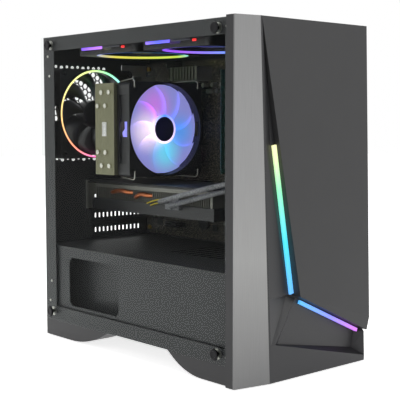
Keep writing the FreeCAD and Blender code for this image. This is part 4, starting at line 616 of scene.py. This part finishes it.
# An unlit diffuser: milky grey acrylic.
strip_grey = grainy("frosted_grey_diffuser", "#55555e", "#7b7b86", 0.7, 0.4, 0.02)
bars, greys, diodes = [], [], []
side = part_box("top_fan_frames")[0][0] - 0.0003
for hub in top_hubs:
    y, z = hub[1], top_face + 0.0085
    bars.append(rounded_block((side - 0.0012, y + 0.006, z - 0.0022), (side + 0.0004, y + 0.050,
            z + 0.0022), 0.0007))
    greys.append(rounded_block((side - 0.0008, y - 0.030, z - 0.0012), (side + 0.0004, y + 0.003,
            z + 0.0012), 0.0005))
    diodes.append(rounded_block((side - 0.0010, y - 0.040, z - 0.0030), (side + 0.0004, y - 0.034,
            z - 0.0002), 0.0006))
piece("roof_fan_side_bars", bars, side_bar_light, "chassis")
piece("roof_fan_grey_strips", greys, strip_grey, "chassis")
piece("roof_fan_red_diodes", diodes, diode_light, "chassis")

# %% [markdown]
# Thumbscrews are turned from steel bar and knurled so fingers can grip them. The head is a revolved profile
# whose
# rim ripples, with a cross recess suggested by a sunken centre.


# %% Thumbscrews and rivets
def screw_head(at, radius, height, way):
    """A rippled, chamfered head with a sunken centre, standing along +Z and then turned to way."""
    profile = [(radius * 0.90, 0), (radius, height * 0.18), (radius, height * 0.80), (radius * 0.90,
            height * 0.97),
               (radius * 0.62, height), (radius * 0.56, height * 0.82), (0.0004, height * 0.78)]
    cloud, faces = skin(turned(profile, 96, 0.035, 24))
    if way == "-x":
        cloud = np.stack([-cloud[:, 2], cloud[:, 1], cloud[:, 0]], -1)
    elif way == "+y":
        cloud = np.stack([cloud[:, 0], cloud[:, 2], cloud[:, 1]], -1)
    return cloud + np.array(at), faces


low, high = [np.array(v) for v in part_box("glass_thumbscrews")]
glass_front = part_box("glass_panel")[0][0]
inset = 0.0065
glass_spots = [(glass_front, y, z) for y in (low[1] + inset, high[1] - inset) for z in (low[2] + inset,
        high[2] - inset)]
shanks = [skin(turned([(0.0017, 0.0), (0.0017, 0.0102)], 16)) for spot in glass_spots]
shells = [screw_head(spot, 0.0063, 0.0029, "-x") for spot in glass_spots]
shells += [(np.stack([cloud[:, 2], cloud[:, 1], cloud[:, 0]], -1) + np.array(spot), faces)
           for (cloud, faces), spot in zip(shanks, glass_spots)]
piece("knurled_glass_screws", shells, oxide, "glass_screws", True, "glass_thumbscrews")

low, high = [np.array(v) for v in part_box("side_panel_thumbscrews")]
spots = [((low[0] + high[0]) / 2, high[1] - 0.0048, z) for z in (low[2] + 0.0055, high[2] - 0.0055)]
shells = [screw_head(spot, 0.0054, 0.0047, "+y") for spot in spots]
shells += [(np.stack([cloud[:, 0], -cloud[:, 2] * 0.65, cloud[:, 1]], -1) + np.array(spot), faces)
           for (cloud, faces), spot in zip(shanks, spots)]
piece("knurled_panel_screws", shells, oxide, "side_screws", True, "side_panel_thumbscrews")

rivets = []
frame_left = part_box("rear_panel")[0][0]
dome = turned([(0.0018, 0.0), (0.0017, 0.0004), (0.0011, 0.0009), (0.0002, 0.0011)], 16)
for y, z in ((0.1812, 0.3735), (0.1778, 0.3478), (0.1779, 0.0746), (0.1813, 0.0478), (-0.164, 0.0325),
             (-0.1640, 0.3886),
             (-0.142, 0.3906)):
    cloud, faces = skin(dome)
    rivets.append((np.stack([-cloud[:, 2], cloud[:, 1], cloud[:, 0]], -1) + np.array((frame_left, y, z)),
                   faces))
piece("bright_rivets", rivets, zinc, "chassis")

# %% [markdown]
# The back sheet is perforated in two rows, above and below the fan, and the white studio behind shines
# through.
# The discs stand in for those holes, which the sheet itself doesn't have: each is a thin bright disc on its
# face, glowing white by emission: painted light for the backdrop seen through a hole.

# %% Perforation rows
through, tree, out = finish("painted_backdrop_glow")
where = add(tree, "ShaderNodeTexCoord").outputs["Object"]
# Painted light: the discs glow by emission, mottled between pale grey and white, in place of the backdrop
# seen through holes.
painted_glow_mottle = add(tree, "ShaderNodeTexNoise", {"Vector": where, "Scale": 700.0}).outputs["Fac"]
pale = add(tree, "ShaderNodeValToRGB", {"Fac": painted_glow_mottle}, stops=[(0.3, "#dcdcda"), (0.7,
        "#ffffff")]).outputs["Color"]
shader = add(tree, "ShaderNodeBsdfPrincipled", {"Base Color": pale, "Emission Color": pale,
                                                "Emission Strength": 0.8,
                                                "Roughness": 0.6})
tree.links.new(shader.outputs[0], out.inputs[0])
sheet_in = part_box("rear_panel")[1][1] - 0.001
dots = []
for z, count in ((0.3605, 11), (0.2366, 9)):
    for k in range(count):
        size = 0.0026 if k % 2 == 0 else 0.0020
        at = (-0.089 + 0.0088 * k, sheet_in - 0.0001, z + (0.0013 if k % 2 else 0))
        dots.append(disc([(size, -0.0001), (size, 0.0001), (size * 0.8, 0.0003)], at, 16))
piece("painted_glow_perforation_discs", dots, through, "chassis")

# %% [markdown]
# A motherboard is crowded with small parts: tin-cased capacitors, chips, and rows of header pins. Each kind
# is one
# simple shape repeated, kept to a few dozen faces each, and the smallest are scattered by a seeded draw.

# %% Small parts on the board
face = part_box("motherboard")[0][0]
board_low, board_high = [np.array(v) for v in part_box("motherboard")]
steps = np.random.default_rng(7)


def can_at(y, z, radius, height):
    """A capacitor can: a short cylinder with a rounded lip, standing out of the board towards the window."""
    cloud, faces = skin(turned([(radius, 0), (radius, height * 0.9), (radius * 0.86, height), (radius * 0.1,
            height * 0.98)], 14))
    return np.stack([-cloud[:, 2], cloud[:, 1], cloud[:, 0]], -1) + np.array((face, y, z)), faces


cans = [can_at(0.130 - 0.009 * k, 0.3665, 0.0032, 0.0085) for k in range(3)]
cans += [can_at(0.056 - 0.009 * k, 0.3365 - 0.008 * (k % 2), 0.0032, 0.0085) for k in range(6)]
cans += [can_at(-0.032 - 0.0085 * (k % 3), 0.352 - 0.009 * (k // 3), 0.0030, 0.008) for k in range(6)]
cans += [can_at(0.160 - 0.0085 * (k % 2), 0.180 - 0.009 * (k // 2), 0.0030, 0.008) for k in range(8)]
piece("tin_capacitors", cans, zinc, "chassis")
chips = []
for y, z, w, h in ((-0.030, 0.300, 0.010, 0.010), (-0.030, 0.270, 0.008, 0.012), (0.020, 0.350, 0.012,
        0.008),
                   (0.150, 0.140, 0.012, 0.012), (0.035, 0.140, 0.009, 0.009), (-0.030, 0.225, 0.010,
                           0.008),
                   (0.010, 0.212, 0.008, 0.006), (0.100, 0.140, 0.010, 0.007)):
    chips.append(rounded_block((face - 0.0016, y, z), (face + 0.0001, y + w, z + h), 0.0003, axis=0))
piece("surface_chips", chips, socket_plastic, "chassis", False)
specks = []
for y, z in steps.uniform((board_low[1] + 0.004, board_low[2] + 0.004), (board_high[1] - 0.028,
        board_high[2] - 0.004), (420, 2)):
    specks.append(rounded_block((face - 0.0009, y, z), (face + 0.0001, y + 0.0022, z + 0.0011), 0.0002,
                                axis=0, per_corner=2))
piece("chip_resistors", specks, nickel, "chassis", False)

# %% [markdown]
# The cooler's end plate carries a bare bright clip plate and the nickel tips of its heat pipes. The card
# shows two
# yellow-sleeved fan leads between its fins and its cover.


# %% Cooler plate and card leads
def lead(points, radius, steps=40):
    """A round wire along a smooth curve: points joined by a Catmull-Rom spline, and a circle carried
    along it."""
    points = np.array(points, float)
    padded = np.vstack([2 * points[0] - points[1], points, 2 * points[-1] - points[-2]])
    t = np.linspace(0, len(points) - 1 - 1e-6, steps)
    k = t.astype(int)
    f = (t - k)[:, None]
    p0, p1, p2, p3 = (padded[k + i] for i in range(4))
    bend = (2 * p0 - 5 * p1 + 4 * p2 - p3) * f ** 2
    twist = (3 * p1 - p0 - 3 * p2 + p3) * f ** 3
    path = 0.5 * (2 * p1 + (p2 - p0) * f + bend + twist)
    along = np.gradient(path, axis=0)
    along /= np.linalg.norm(along, axis=1)[:, None]
    side = np.cross(along, (0.31, 0.17, 0.93))
    side /= np.linalg.norm(side, axis=1)[:, None]
    up = np.cross(side, along)
    angle = np.linspace(0, 2 * np.pi, 10, endpoint=False)
    ring = radius * (side[:, None, :] * np.cos(angle)[None, :, None] + up[:, None, :] * np.sin(angle)[None,
            :, None])
    return skin(path[:, None, :] + ring)


fins_low, fins_high = [np.array(v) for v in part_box("cooler_fins")]
mid_y, mid_z = (fins_low[1] + fins_high[1]) / 2, (fins_low[2] + fins_high[2]) / 2
# A polished plate painted nearly white: pale metal, with its shine painted into the colour as a painted
# reflection of the white studio.
bright = grainy("clip_plate_painted_shine", "#e4e4e0", "#ffffff", 1.0, 0.25, 0.01, metallic=0.2)
piece("cooler_clip_plate", [rounded_block((fins_low[0] - 0.0012, mid_y - 0.0045, mid_z - 0.009),
                                          (fins_low[0] + 0.0002, mid_y + 0.0045, mid_z + 0.009), 0.0004,
                                          axis=0)], bright,
      "chassis")
# Yellow PVC insulation, softly glossy.
yellow = grainy("yellow_wire_insulation", "#c9b21c", "#f0dd3a", 1.0, 0.4, 0.02)
card_low, card_high = [np.array(v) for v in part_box("gpu_shroud")]
edge = card_low[0]
wires = [lead([(edge + 0.006, 0.060, 0.1835), (edge - 0.0015, 0.052, 0.1835), (edge - 0.0025, 0.040, 0.187),
               (edge - 0.001, 0.026, 0.190), (edge + 0.006, 0.016, 0.190)], 0.0009),
         lead([(edge + 0.006, 0.052, 0.1805), (edge - 0.002, 0.044, 0.1815), (edge - 0.003, 0.030, 0.1850),
               (edge - 0.001, 0.012, 0.187), (edge + 0.006, 0.004, 0.187)], 0.0009)]
piece("card_fan_leads", wires, yellow, "chassis")

# %% [markdown]
# The table and backdrop are matt white paper. To the camera, and in mirrors and glass, the world is plain
# white; to
# the lamps it is a dim grey, so the white doesn't flood the object with light.

# %% Table and world
paper, tree, out = finish("matt_white_paper")
where = add(tree, "ShaderNodeTexCoord").outputs["Object"]
fibre = add(tree, "ShaderNodeTexNoise", {"Vector": where, "Scale": 900.0}).outputs["Fac"]
tone = add(tree, "ShaderNodeValToRGB", {"Fac": fibre}, stops=[(0.3, "#fbfbfb"), (0.7,
        "#ffffff")]).outputs["Color"]
path = add(tree, "ShaderNodeLightPath").outputs
seen = add(tree, "ShaderNodeMath", {0: path["Is Camera Ray"], 1: path["Is Glossy Ray"]},
           operation="MAXIMUM").outputs[0]
seen = add(tree, "ShaderNodeMath", {0: seen, 1: path["Is Transmission Ray"]},
           operation="MAXIMUM").outputs[0]
lift = add(tree, "ShaderNodeMath", {0: seen, 1: 0.8}, operation="MULTIPLY").outputs[0]
shader = add(tree, "ShaderNodeBsdfPrincipled", {"Base Color": tone, "Roughness": 0.9,
                                                "Emission Color": tone,
                                                "Emission Strength": lift})
tree.links.new(shader.outputs[0], out.inputs[0])
table_mesh = bpy.data.meshes.new("table_top")
table_mesh.from_pydata([(-6, -6, -0.0004), (6, -6, -0.0004), (6, 6, -0.0004), (-6, 6, -0.0004)], [], [(0, 1,
        2, 3)])
table_mesh.materials.append(paper)
table_top = bpy.data.objects.new("table_top", table_mesh)
bpy.context.scene.collection.objects.link(table_top)

world = bpy.data.worlds.new("studio")
bpy.context.scene.world = world
world.use_nodes = True
tree = world.node_tree
tree.nodes.clear()
path = add(tree, "ShaderNodeLightPath").outputs
seen = add(tree, "ShaderNodeMath", {0: path["Is Camera Ray"], 1: path["Is Glossy Ray"]},
           operation="MAXIMUM").outputs[0]
seen = add(tree, "ShaderNodeMath", {0: seen, 1: path["Is Transmission Ray"]}, operation="MAXIMUM")
white = add(tree, "ShaderNodeBackground", {"Color": (1, 1, 1, 1), "Strength": 1.0})
dim = add(tree, "ShaderNodeBackground", {"Color": (1, 1, 1, 1), "Strength": 0.3})
mixed = add(tree, "ShaderNodeMixShader", {0: seen.outputs[0], 1: dim.outputs[0], 2: white.outputs[0]})
sky = add(tree, "ShaderNodeOutputWorld")
tree.links.new(mixed.outputs[0], sky.inputs[0])
